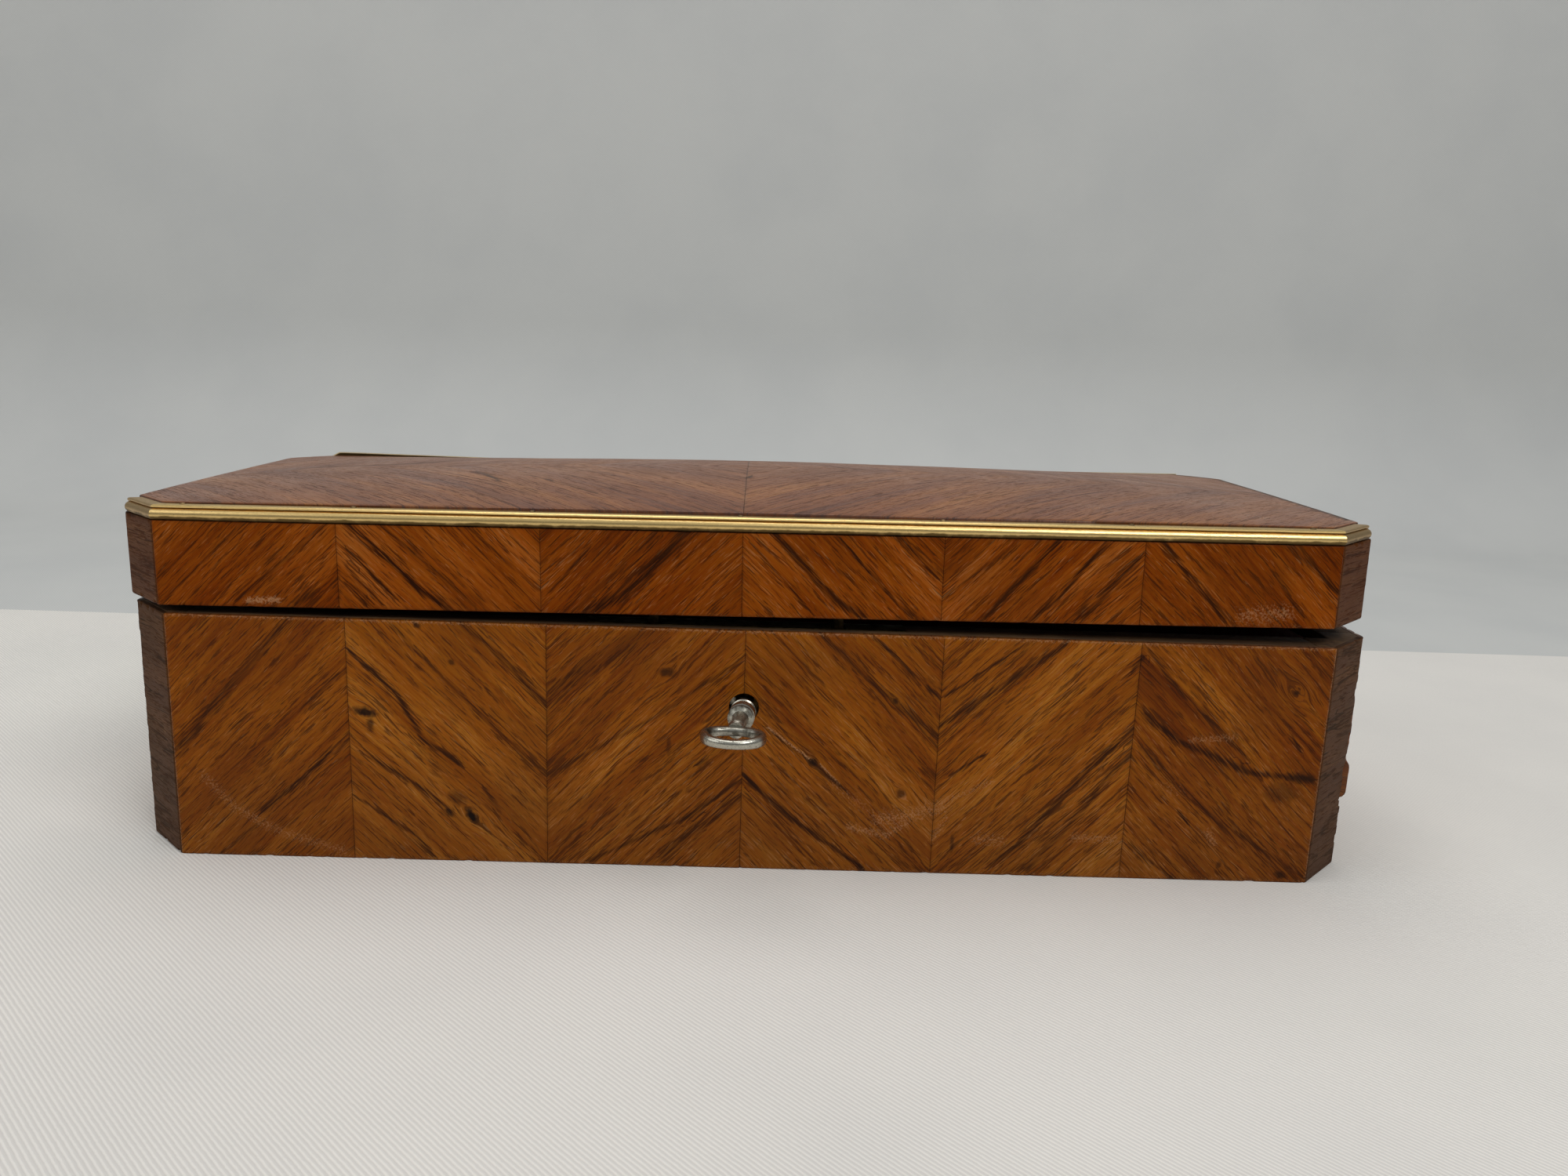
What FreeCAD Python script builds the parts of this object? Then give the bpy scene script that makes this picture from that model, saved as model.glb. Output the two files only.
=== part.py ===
import FreeCAD, Part
import Sketcher
import os
import re

# Sizes of the box: lengths in millimetres, angles in degrees. Every piece is drawn from these.
SIZES = {
    # outside of the base
    "box_length": 300.0,
    "box_depth": 118.0,
    "base_height": 60.0,
    "corner_cant": 12.5,
    # carcase boards and the sawn veneer glued over them
    "veneer_thick": 1.2,
    "board_thick": 9.0,
    "bottom_thick": 7.0,
    "post_land": 4.0,
    "leaf_width": 46.7,
    "seam_offset": 2.3,
    # lid
    "lid_wall": 19.8,
    "top_board": 5.0,
    "top_edge": 3.8,
    "dome_rise": 5.4,
    "cut_overrun": 2.0,
    # brass moulding let in round the top edge
    "moulding_width": 3.2,
    "moulding_height": 3.6,
    "bead_radius": 1.4,
    "bead_proud": 0.7,
    # how the warped lid sits when it is down
    "lid_back_gap": 2.0,
    "lid_nod_angle": 0.6,
    "lid_cock_angle": 0.57,
    "lid_shift_left": 1.1,
    "lid_shift_back": 0.3,
    # hinges
    "hinge_inset": 55.0,
    "hinge_length": 32.0,
    "leaf_reach": 9.0,
    "leaf_thick": 1.2,
    "barrel_radius": 2.6,
    "pivot_out": 0.8,
    "hinge_pin_radius": 0.9,
    "pin_play": 0.06,
    "knuckle_gap": 0.2,
    "hinge_clear": 0.3,
    # lock
    "keyhole_drop": 18.9,
    "keyhole_radius": 3.6,
    "keyhole_slot": 2.8,
    "lock_case_length": 66.0,
    "lock_case_height": 29.0,
    "case_depth": 6.4,
    "plate_thick": 1.4,
    "plate_margin": 5.0,
    "plate_skirt": 3.0,
    "cap_thick": 0.8,
    "cap_margin": 9.0,
    "cap_drop": 10.0,
    "cap_rise": 16.0,
    "stud_radius": 1.2,
    "stud_inset": 4.0,
    "top_stud_inset": 9.0,
    "lock_pin_radius": 1.22,
    "lock_pin_length": 6.6,
    "spring_thick": 0.5,
    "spring_width": 3.0,
    "spring_reach": 10.0,
    # bolt and the staples that it shoots through
    "bolt_throw": 5.0,
    "bolt_rise": 3.5,
    "bolt_tall": 6.0,
    "lock_clear": 0.3,
    "talon_left": 6.9,
    "talon_right": 1.9,
    "talon_deep": 2.6,
    "hook_width": 3.0,
    "hook_thick": 1.6,
    "hook_tall": 2.2,
    "hook_drop": 2.3,
    "hook_back": 0.8,
    "case_end_gap": 1.1,
    "staple_thick": 2.2,
    "staple_cheek": 0.6,
    "staple_drop": 9.6,
    "eye_play": 0.3,
    "eye_low": 0.8,
    "eye_tall": 5.8,
    "slot_play": 0.6,
    "striker_margin": 10.0,
    # key
    "key_bore_play": 0.08,
    "shank_radius": 2.3,
    "shank_tip_gap": 0.3,
    "bore_depth": 9.0,
    "bit_radius": 5.5,
    "bit_thick": 2.0,
    "bit_wide": 2.6,
    "collar_radius": 2.8,
    "collar_gap": 2.2,
    "collar_length": 5.8,
    "ring_rise": 0.3,
    "ring_length": 0.8,
    "neck_radius": 2.0,
    "neck_length": 8.4,
    "bow_half_width": 7.4,
    "bow_half_depth": 5.6,
    "bow_band": 1.9,
    "bow_tall": 2.2,
    "key_lean_angle": 5.8,
    # satin linings
    "soft_gap": 0.3,
    "lining_thick": 1.4,
    "lining_reveal": 3.0,
    "floor_pad_thick": 4.0,
    "floor_pad_crown": 2.0,
    "lid_pad_thick": 3.5,
    "lid_pad_crown": 2.0,
    "pad_edge": 1.5,
    "crown_inset": 18.0,
}

# How far a corner of the plan slides along its side for each unit that the outline is drawn in.
MITRE_SHARE = 0.41421356
FRONT_LEAVES = 6
KNUCKLES = 5

HALF_LENGTH = "(box_length / 2)"
HALF_DEPTH = "(box_depth / 2)"
INNER_X = f"({HALF_LENGTH} - veneer_thick - board_thick)"
INNER_Y = f"({HALF_DEPTH} - veneer_thick - board_thick)"
POST_X = f"({HALF_LENGTH} - corner_cant - post_land)"
POST_Y = f"({HALF_DEPTH} - corner_cant - post_land)"
SEAM_X = "(-seam_offset)"
LID_BOARD_TOP = "(lid_wall - top_board)"
PIVOT_Y = f"({HALF_DEPTH} + pivot_out)"
PIVOT_Z = "(base_height + lid_back_gap / 2)"
HINGE_X = f"({HALF_LENGTH} - hinge_inset)"
KEY_Z = "(base_height - keyhole_drop)"
LOCK_HALF = "(lock_case_length / 2 + plate_margin)"
LOCK_LOW = "(base_height - lock_case_height - plate_skirt)"
CAP_REACH = "(lock_case_length / 2 - cap_margin)"
STAPLE_X = "(lock_case_length / 2 - case_end_gap - hook_width - bolt_throw - hook_back - staple_thick / 2)"
PLATE_FACE = f"(-{INNER_Y} - plate_thick)"
CASE_FRONT = f"(-{INNER_Y} - case_depth)"
CAP_BACK = f"({CASE_FRONT} + cap_thick)"
LOCK_MIDDLE = f"(({PLATE_FACE} + {CAP_BACK}) / 2)"
STAPLE_WIDTH = "(hook_thick + 2 * eye_play + 2 * staple_cheek)"
KEY_BORE = "(lock_pin_radius + key_bore_play)"

doc = FreeCAD.newDocument("GloveBox")
sheet = doc.addObject("Spreadsheet::Sheet", "Sizes")
for row, (alias, amount) in enumerate(SIZES.items(), start=1):
    sheet.set(f"A{row}", alias)
    sheet.set(f"B{row}", str(amount))
    sheet.setAlias(f"B{row}", alias)
doc.recompute()

nodes = {}


def size(alias):
    """The value of one size, read back from the sheet."""
    return float(sheet.get(alias))


def bind(item, prop, text):
    """Ties a property to the sheet; in the text a size is written as its plain alias."""
    item.setExpression(prop, re.sub(r"[a-z]+(?:_[a-z]+)+", lambda found: "Sizes." + found.group(), text))


def origin_plane(body, role):
    return next(plane for plane in body.Origin.OriginFeatures if plane.Role == role)


def outline(body, name, plane, start, points):
    """A closed sketch of straight sides, each corner held at its two bound coordinates."""
    sketch = body.newObject("Sketcher::SketchObject", name)
    sketch.AttachmentSupport = (origin_plane(body, plane), "")
    sketch.MapMode = "FlatFace"
    bind(sketch, "AttachmentOffset.Base.z", start)
    count = len(points)
    spoke = FreeCAD.Vector(size("box_depth"), 0, 0)
    turn = FreeCAD.Rotation(FreeCAD.Vector(0, 0, 1), 360.0 / count)
    for _ in points:
        following = turn.multVec(spoke)
        sketch.addGeometry(Part.LineSegment(spoke, following), False)
        spoke = following
    for index, (across, up) in enumerate(points):
        sketch.addConstraint(Sketcher.Constraint("Coincident", index, 2, (index + 1) % count, 1))
        for kind, text in (("DistanceX", across), ("DistanceY", up)):
            held = sketch.addConstraint(Sketcher.Constraint(kind, -1, 1, index, 1, 1.0))
            bind(sketch, f"Constraints[{held}]", text)
    return sketch


def add_pad(body, name, plane, points, low, high):
    """Pads an outline from low to high along the positive axis that is square to its plane."""
    start = f"-({high})" if plane == "XZ_Plane" else low
    pad = body.newObject("PartDesign::Pad", name + "_pad")
    pad.Profile = outline(body, name + "_sketch", plane, start, points)
    bind(pad, "Length", f"({high}) - ({low})")
    return pad


def prism(name, plane, points, low, high):
    body = doc.addObject("PartDesign::Body", name)
    add_pad(body, name, plane, points, low, high)
    return body


def turned(name, points):
    """A piece turned round the Z axis; its points are radius and height."""
    body = doc.addObject("PartDesign::Body", name)
    spin = body.newObject("PartDesign::Revolution", name + "_turn")
    spin.Profile = outline(body, name + "_sketch", "XZ_Plane", "0", points)
    spin.ReferenceAxis = (origin_plane(body, "Z_Axis"), [""])
    return body


def block(name, x_low, x_high, y_low, y_high, z_low, z_high):
    box = doc.addObject("Part::Box", name)
    for side, low, high in (("Length", x_low, x_high), ("Width", y_low, y_high), ("Height", z_low, z_high)):
        bind(box, side, f"({high}) - ({low})")
    place_at(box, x_low, y_low, z_low)
    return box


TURN_TO = {
    "X": FreeCAD.Rotation(FreeCAD.Vector(0, 1, 0), 90),
    "Y": FreeCAD.Rotation(FreeCAD.Vector(1, 0, 0), -90),
    "Z": FreeCAD.Rotation(),
    "-Y": FreeCAD.Rotation(FreeCAD.Vector(1, 0, 0), 90),
}


def place_at(item, x_place, y_place, z_place, towards="Z"):
    """Stands an item at bound coordinates, its own Z axis turned to the direction named."""
    item.Placement = FreeCAD.Placement(FreeCAD.Vector(), TURN_TO[towards])
    for axis, text in (("x", x_place), ("y", y_place), ("z", z_place)):
        bind(item, "Placement.Base." + axis, text)
    return item


def rod(name, radius, length, x_place, y_place, z_place, towards="Z"):
    cylinder = doc.addObject("Part::Cylinder", name)
    bind(cylinder, "Radius", radius)
    bind(cylinder, "Height", length)
    return place_at(cylinder, x_place, y_place, z_place, towards)


def fuse(name, members):
    whole = doc.addObject("Part::MultiFuse", name)
    whole.Shapes = members
    return whole


def cut(name, base, tools):
    piece = doc.addObject("Part::Cut", name)
    piece.Base = base
    piece.Tool = tools[0] if len(tools) == 1 else fuse(name + "_tools", tools)
    return piece


def common(name, base, tool):
    piece = doc.addObject("Part::Common", name)
    piece.Base = base
    piece.Tool = tool
    return piece


def group(name, members):
    """Several separate solids kept as one node."""
    together = doc.addObject("Part::Compound", name)
    together.Links = members
    return together


def finish(item, label):
    """Registers a finished sub-part under its own name."""
    item.Label = label
    nodes[label] = item
    return item


def lid_rest():
    """Where the lid sits when down: cocked by its warp, turned about the back edge of its rim."""
    turn = FreeCAD.Rotation(0, -size("lid_cock_angle"), -size("lid_nod_angle"))
    half_depth = size("box_depth") / 2
    back_edge = FreeCAD.Vector(0, half_depth, 0)
    seat = FreeCAD.Vector(
        -size("lid_shift_left"),
        half_depth + size("lid_shift_back"),
        size("base_height") + size("lid_back_gap"),
    )
    return FreeCAD.Placement(seat, turn).multiply(FreeCAD.Placement(back_edge.negative(), FreeCAD.Rotation()))


LID_REST = lid_rest()


def finish_on_lid(item, label):
    """Registers a sub-part drawn from the lid's rim, at the place where the lid sits."""
    item.Placement = LID_REST
    return finish(item, label)


def corner(x_side, y_side, inset, side):
    """A corner of the eight-sided plan, drawn in by inset, on its long side or its end side."""
    slide = f"{MITRE_SHARE} * ({inset})"
    if side == "long":
        return f"{x_side} * ({HALF_LENGTH} - corner_cant - {slide})", f"{y_side} * ({HALF_DEPTH} - ({inset}))"
    return f"{x_side} * ({HALF_LENGTH} - ({inset}))", f"{y_side} * ({HALF_DEPTH} - corner_cant - {slide})"


# The two corners that end each side of the plan, going round from the front.
SIDES = {
    "front": ((-1, -1, "long"), (1, -1, "long")),
    "front_right": ((1, -1, "long"), (1, -1, "end")),
    "right": ((1, -1, "end"), (1, 1, "end")),
    "back_right": ((1, 1, "end"), (1, 1, "long")),
    "back": ((1, 1, "long"), (-1, 1, "long")),
    "back_left": ((-1, 1, "long"), (-1, 1, "end")),
    "left": ((-1, 1, "end"), (-1, -1, "end")),
    "front_left": ((-1, -1, "end"), (-1, -1, "long")),
}
CORNER_SIGNS = ((-1, -1), (1, -1), (1, 1), (-1, 1))


def octagon(inset):
    return [corner(x_side, y_side, inset, side) for (x_side, y_side, side), _ in SIDES.values()]


def ring_piece(side, outer, inner):
    """Plan of one mitred side between two insets."""
    (x_first, y_first, first), (x_last, y_last, last) = SIDES[side]
    return [
        corner(x_first, y_first, outer, first),
        corner(x_last, y_last, outer, last),
        corner(x_last, y_last, inner, last),
        corner(x_first, y_first, inner, first),
    ]


def side_veneer(name, side, low, high):
    return prism(name, "XY_Plane", ring_piece(side, "0", "veneer_thick"), low, high)


def corner_veneers(name, low, high):
    sides = ("front_left", "front_right", "back_right", "back_left")
    return group(name, [side_veneer(f"{name}_{side}", side, low, high) for side in sides])


def front_leaves(name, low, high):
    """Six leaves of veneer side by side; the end ones are mitred into the canted corners."""
    ring = ring_piece("front", "0", "veneer_thick")
    outer_y, inner_y = ring[0][1], ring[2][1]
    leaves = []
    for index in range(FRONT_LEAVES):
        seams = [f"{SEAM_X} + {index + step - FRONT_LEAVES // 2} * leaf_width" for step in (0, 1)]
        outer_left = ring[0] if index == 0 else (seams[0], outer_y)
        inner_left = ring[3] if index == 0 else (seams[0], inner_y)
        outer_right = ring[1] if index == FRONT_LEAVES - 1 else (seams[1], outer_y)
        inner_right = ring[2] if index == FRONT_LEAVES - 1 else (seams[1], inner_y)
        plan = [outer_left, outer_right, inner_right, inner_left]
        leaves.append(prism(f"{name}_leaf_{index + 1}", "XY_Plane", plan, low, high))
    return leaves


def corner_posts(name, low, high):
    """Four posts that fill the corners behind the cants, planed off to the cant outside."""
    posts = []
    for index, (x_side, y_side) in enumerate(CORNER_SIGNS, start=1):
        plan = [
            corner(x_side, y_side, "veneer_thick", "end"),
            corner(x_side, y_side, "veneer_thick", "long"),
            (f"{x_side} * {POST_X}", f"{y_side} * ({HALF_DEPTH} - veneer_thick)"),
            (f"{x_side} * {POST_X}", f"{y_side} * {INNER_Y}"),
            (f"{x_side} * {INNER_X}", f"{y_side} * {INNER_Y}"),
            (f"{x_side} * {INNER_X}", f"{y_side} * {POST_Y}"),
            (f"{x_side} * ({HALF_LENGTH} - veneer_thick)", f"{y_side} * {POST_Y}"),
        ]
        posts.append(prism(f"{name}_{index}", "XY_Plane", plan, low, high))
    return group(name, posts)


def long_board(name, y_side, low, high):
    """Front board for y_side -1, back board for 1."""
    faces = (f"{HALF_DEPTH} - veneer_thick", INNER_Y)
    near, far = faces if y_side < 0 else reversed(faces)
    plan = [(f"{x} * {POST_X}", f"{y_side} * ({y})") for x, y in ((-1, near), (1, near), (1, far), (-1, far))]
    return prism(name, "XY_Plane", plan, low, high)


def end_board(name, x_side, low, high):
    faces = (f"{HALF_LENGTH} - veneer_thick", INNER_X)
    plan = [(f"{x_side} * ({x})", f"{y} * {POST_Y}") for x, y in
            ((faces[0], -1), (faces[1], -1), (faces[1], 1), (faces[0], 1))]
    return prism(name, "XY_Plane", plan, low, high)


def lock_x(across):
    """A place across the lock, measured from the keyhole."""
    return f"({SEAM_X} + ({across}))"


def lid_rim_at(hinge_side):
    """Height of the lid's back rim above the hinge on that side."""
    return f"(base_height + lid_back_gap + {hinge_side} * {HINGE_X} * sin(lid_cock_angle * 1 deg))"


def hinge_leaf(name, hinge_side, leaf_low, leaf_high, web_low, web_high, first_knuckle):
    """One leaf with every second knuckle of the barrel."""
    left = f"({hinge_side} * {HINGE_X} - hinge_length / 2)"
    plate_back = f"({PIVOT_Y} - barrel_radius - hinge_clear)"
    pieces = [block(name + "_plate", left, f"{left} + hinge_length", f"{HALF_DEPTH} - leaf_reach", plate_back,
                    leaf_low, leaf_high)]
    pitch = f"hinge_length / {KNUCKLES}"
    for index in range(first_knuckle, KNUCKLES, 2):
        start = f"({left} + {index} * {pitch} + knuckle_gap / 2)"
        span = f"({pitch} - knuckle_gap)"
        pieces.append(rod(f"{name}_knuckle_{index}", "barrel_radius", span, start, PIVOT_Y, PIVOT_Z, "X"))
        pieces.append(block(f"{name}_web_{index}", start, f"{start} + {span}", plate_back, PIVOT_Y,
                            web_low, web_high))
    bore = rod(name + "_bore", "hinge_pin_radius + pin_play", "hinge_length", left, PIVOT_Y, PIVOT_Z, "X")
    return fuse(name + "_solid", pieces), bore


def hinge_sinkings(name, hinge_side, x_shift, y_shift, rim, sign):
    """Mortise for a leaf and the recess for its barrel; sign is -1 below the rim and 1 above it."""
    left = f"({hinge_side} * {HINGE_X} - hinge_length / 2 + {x_shift} - hinge_clear)"
    right = f"({left} + hinge_length + 2 * hinge_clear)"
    outside = f"({HALF_DEPTH} + cut_overrun)"
    barrel_front = f"({PIVOT_Y} + {y_shift} - barrel_radius - 2 * hinge_clear)"
    leaf_front = f"({HALF_DEPTH} + {y_shift} - leaf_reach - hinge_clear)"
    sunk = "leaf_thick" if sign < 0 else "(leaf_thick + hinge_clear)"
    recess = f"({PIVOT_Z} - barrel_radius - hinge_clear)" if sign < 0 else "(barrel_radius + hinge_clear)"
    spans = ((f"{rim} - {sunk}", rim), (recess, rim)) if sign < 0 else ((rim, sunk), (rim, recess))
    return [
        block(name + "_mortise", left, right, leaf_front, outside, *spans[0]),
        block(name + "_barrel", left, right, barrel_front, outside, *spans[1]),
    ]


def keyhole(name, y_low, y_high):
    """Round hole with the slot below it that lets the bit through."""
    span = f"({y_high}) - ({y_low})"
    return [
        rod(name + "_round", "keyhole_radius", span, lock_x("0"), y_low, KEY_Z, "Y"),
        block(name + "_slot", lock_x("-keyhole_slot / 2"), lock_x("keyhole_slot / 2"), y_low, y_high,
              f"{KEY_Z} - bit_radius - lock_clear", KEY_Z),
    ]


# Base carcase
bottom = prism("base_bottom", "XY_Plane", octagon("veneer_thick"), "0", "bottom_thick")
finish(bottom, "base_bottom_board")
finish(end_board("base_left", -1, "bottom_thick", "base_height"), "base_left_board")
finish(end_board("base_right", 1, "bottom_thick", "base_height"), "base_right_board")
finish(corner_posts("base_posts", "bottom_thick", "base_height"), "base_corner_posts")

front_blank = long_board("base_front_blank", -1, "bottom_thick", "base_height")
front_cuts = [
    block("case_mortise", lock_x("-lock_case_length / 2"), lock_x("lock_case_length / 2"), CASE_FRONT,
          f"-{INNER_Y} + cut_overrun", "base_height - lock_case_height", "base_height"),
    block("plate_recess", lock_x(f"-{LOCK_HALF}"), lock_x(LOCK_HALF), PLATE_FACE,
          f"-{INNER_Y} + cut_overrun", LOCK_LOW, "base_height"),
    block("selvage_recess", lock_x(f"-{LOCK_HALF}"), lock_x(LOCK_HALF), CASE_FRONT,
          f"-{INNER_Y} + cut_overrun", "base_height - plate_thick", "base_height"),
    *keyhole("front_keyhole", f"-{HALF_DEPTH}", CASE_FRONT),
]
finish(cut("base_front", front_blank, front_cuts), "base_front_board")

back_blank = long_board("base_back_blank", 1, "bottom_thick", "base_height")
base_sinkings = []
for side_name, side in (("left", -1), ("right", 1)):
    base_sinkings += hinge_sinkings(f"base_{side_name}_hinge", side, "0", "0", "base_height", -1)
finish(cut("base_back", back_blank, base_sinkings), "base_back_board")

# Veneers of the base
leaves = front_leaves("base_front_veneer", "0", "base_height")
for index in (FRONT_LEAVES // 2 - 1, FRONT_LEAVES // 2):
    hole = keyhole(f"leaf_keyhole_{index + 1}", f"-{HALF_DEPTH} - cut_overrun",
                   f"-{HALF_DEPTH} + 2 * veneer_thick")
    leaves[index] = cut(f"base_pierced_leaf_{index + 1}", leaves[index], hole)
finish(group("base_front_leaves", leaves), "base_front_veneer")
back_veneer = side_veneer("base_back_sheet", "back", "0", "base_height")
finish(cut("base_back_notched", back_veneer, base_sinkings), "base_back_veneer")
finish(side_veneer("base_left_sheet", "left", "0", "base_height"), "base_left_veneer")
finish(side_veneer("base_right_sheet", "right", "0", "base_height"), "base_right_veneer")
finish(corner_veneers("base_cants", "0", "base_height"), "base_corner_veneers")


def make_lock_plate():
    """Plate flush with the inside of the front, bent over the rim as the selvage, with two slots."""
    section = [
        (f"-{INNER_Y}", LOCK_LOW),
        (f"-{INNER_Y}", "base_height"),
        (CASE_FRONT, "base_height"),
        (CASE_FRONT, "base_height - plate_thick"),
        (PLATE_FACE, "base_height - plate_thick"),
        (PLATE_FACE, LOCK_LOW),
    ]
    blank = prism("lock_plate_blank", "YZ_Plane", section, lock_x(f"-{LOCK_HALF}"), lock_x(LOCK_HALF))
    slots = [
        block(f"selvage_slot_{index}", lock_x(f"{x_side} * {STAPLE_X} - staple_thick / 2 - slot_play"),
              lock_x(f"{x_side} * {STAPLE_X} + staple_thick / 2 + slot_play"), CAP_BACK, PLATE_FACE,
              "base_height - 2 * plate_thick", "base_height + cut_overrun")
        for index, x_side in enumerate((-1, 1), start=1)
    ]
    pin_hole = rod("pin_hole", "lock_pin_radius", "plate_thick", lock_x("0"), PLATE_FACE, KEY_Z, "Y")
    return cut("lock_plate_pierced", blank, [*slots, pin_hole])


def make_lock_cap():
    """Front cover of the lock case on three studs, with its own keyhole."""
    cover = block("lock_cover", lock_x(f"-{CAP_REACH}"), lock_x(CAP_REACH), CASE_FRONT, CAP_BACK,
                  f"{KEY_Z} - cap_drop", f"{KEY_Z} + cap_rise")
    stud_places = (
        (f"-({CAP_REACH} - stud_inset)", "-(cap_drop - stud_inset)"),
        (f"{CAP_REACH} - stud_inset", "-(cap_drop - stud_inset)"),
        (f"-({CAP_REACH} - top_stud_inset)", "cap_rise - stud_inset"),
    )
    studs = [
        rod(f"lock_stud_{index}", "stud_radius", f"{PLATE_FACE} - {CASE_FRONT}", lock_x(across), CASE_FRONT,
            f"{KEY_Z} + {rise}", "Y")
        for index, (across, rise) in enumerate(stud_places, start=1)
    ]
    hole = keyhole("cover_keyhole", f"{CASE_FRONT} - cut_overrun", f"{CAP_BACK} + lock_clear")
    return cut("lock_cap_pierced", fuse("lock_cap_blank", [cover, *studs]), hole)


def make_lock_spring():
    """Bent leaf spring between the selvage and the top of the bolt."""
    bolt_top = f"({KEY_Z} + bolt_rise + bolt_tall + lock_clear)"
    under_selvage = "(base_height - plate_thick - lock_clear)"
    plan = [
        (lock_x("spring_reach - spring_thick"), under_selvage),
        (lock_x("spring_reach"), under_selvage),
        (lock_x("spring_thick"), bolt_top),
        (lock_x("-spring_thick"), bolt_top),
        (lock_x("-spring_reach"), under_selvage),
        (lock_x("-spring_reach + spring_thick"), under_selvage),
        (lock_x("0"), f"{bolt_top} + spring_thick"),
    ]
    return prism("lock_spring_leaf", "XZ_Plane", plan, f"{LOCK_MIDDLE} - spring_width / 2",
                 f"{LOCK_MIDDLE} + spring_width / 2")


finish(make_lock_plate(), "lock_plate")
finish(make_lock_cap(), "lock_cap")
finish(make_lock_spring(), "lock_spring")
finish(rod("lock_drill_pin", "lock_pin_radius", "lock_pin_length + plate_thick", lock_x("0"),
           f"-{INNER_Y}", KEY_Z, "-Y"), "lock_pin")


def make_bolt():
    """Bolt with the talon notch over the key and two hooks for the staples of the lid."""
    hooks = []
    bar_low = f"({KEY_Z} + bolt_rise)"
    hook_low = "(base_height - plate_thick - lock_clear - hook_drop)"
    for index, x_side in enumerate((-1, 1), start=1):
        staple_left = f"({x_side} * {STAPLE_X} - staple_thick / 2)"
        upright_right = f"({staple_left} - hook_back - bolt_throw)"
        upright_left = f"({upright_right} - hook_width)"
        tip = f"({staple_left} - hook_back)"
        plan = [
            (lock_x(upright_left), bar_low),
            (lock_x(upright_right), bar_low),
            (lock_x(upright_right), hook_low),
            (lock_x(tip), hook_low),
            (lock_x(tip), f"{hook_low} + hook_tall"),
            (lock_x(upright_left), f"{hook_low} + hook_tall"),
        ]
        hooks.append(prism(f"bolt_hook_{index}", "XZ_Plane", plan, f"{LOCK_MIDDLE} - hook_thick / 2",
                           f"{LOCK_MIDDLE} + hook_thick / 2"))
    bar_left = lock_x(f"-{STAPLE_X} - staple_thick / 2 - hook_back - bolt_throw - hook_width")
    bar_right = lock_x(f"{STAPLE_X} - staple_thick / 2 - hook_back - bolt_throw")
    bar_plan = [
        (bar_left, bar_low),
        (lock_x("-talon_left"), bar_low),
        (lock_x("-talon_left"), f"{bar_low} + talon_deep"),
        (lock_x("talon_right"), f"{bar_low} + talon_deep"),
        (lock_x("talon_right"), bar_low),
        (bar_right, bar_low),
        (bar_right, f"{bar_low} + bolt_tall"),
        (bar_left, f"{bar_low} + bolt_tall"),
    ]
    bar = prism("bolt_bar", "XZ_Plane", bar_plan, f"{CAP_BACK} + lock_clear", f"{PLATE_FACE} - lock_clear")
    return fuse("bolt_forging", [bar, *hooks])


finish(make_bolt(), "lock_bolt")


LEAN = FreeCAD.Rotation(FreeCAD.Vector(0, 0, 1), -size("key_lean_angle"))


def key_head_place(item, along, towards):
    """Places a piece of the key's head on its bent axis, at a distance from the collar's foot."""
    foot_y = f"(-{HALF_DEPTH} - collar_gap)"
    place_at(item, lock_x(f"-({along}) * sin(key_lean_angle * 1 deg)"),
             f"{foot_y} - ({along}) * cos(key_lean_angle * 1 deg)", KEY_Z)
    item.Placement.Rotation = LEAN.multiply(TURN_TO[towards])
    return item


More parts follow.
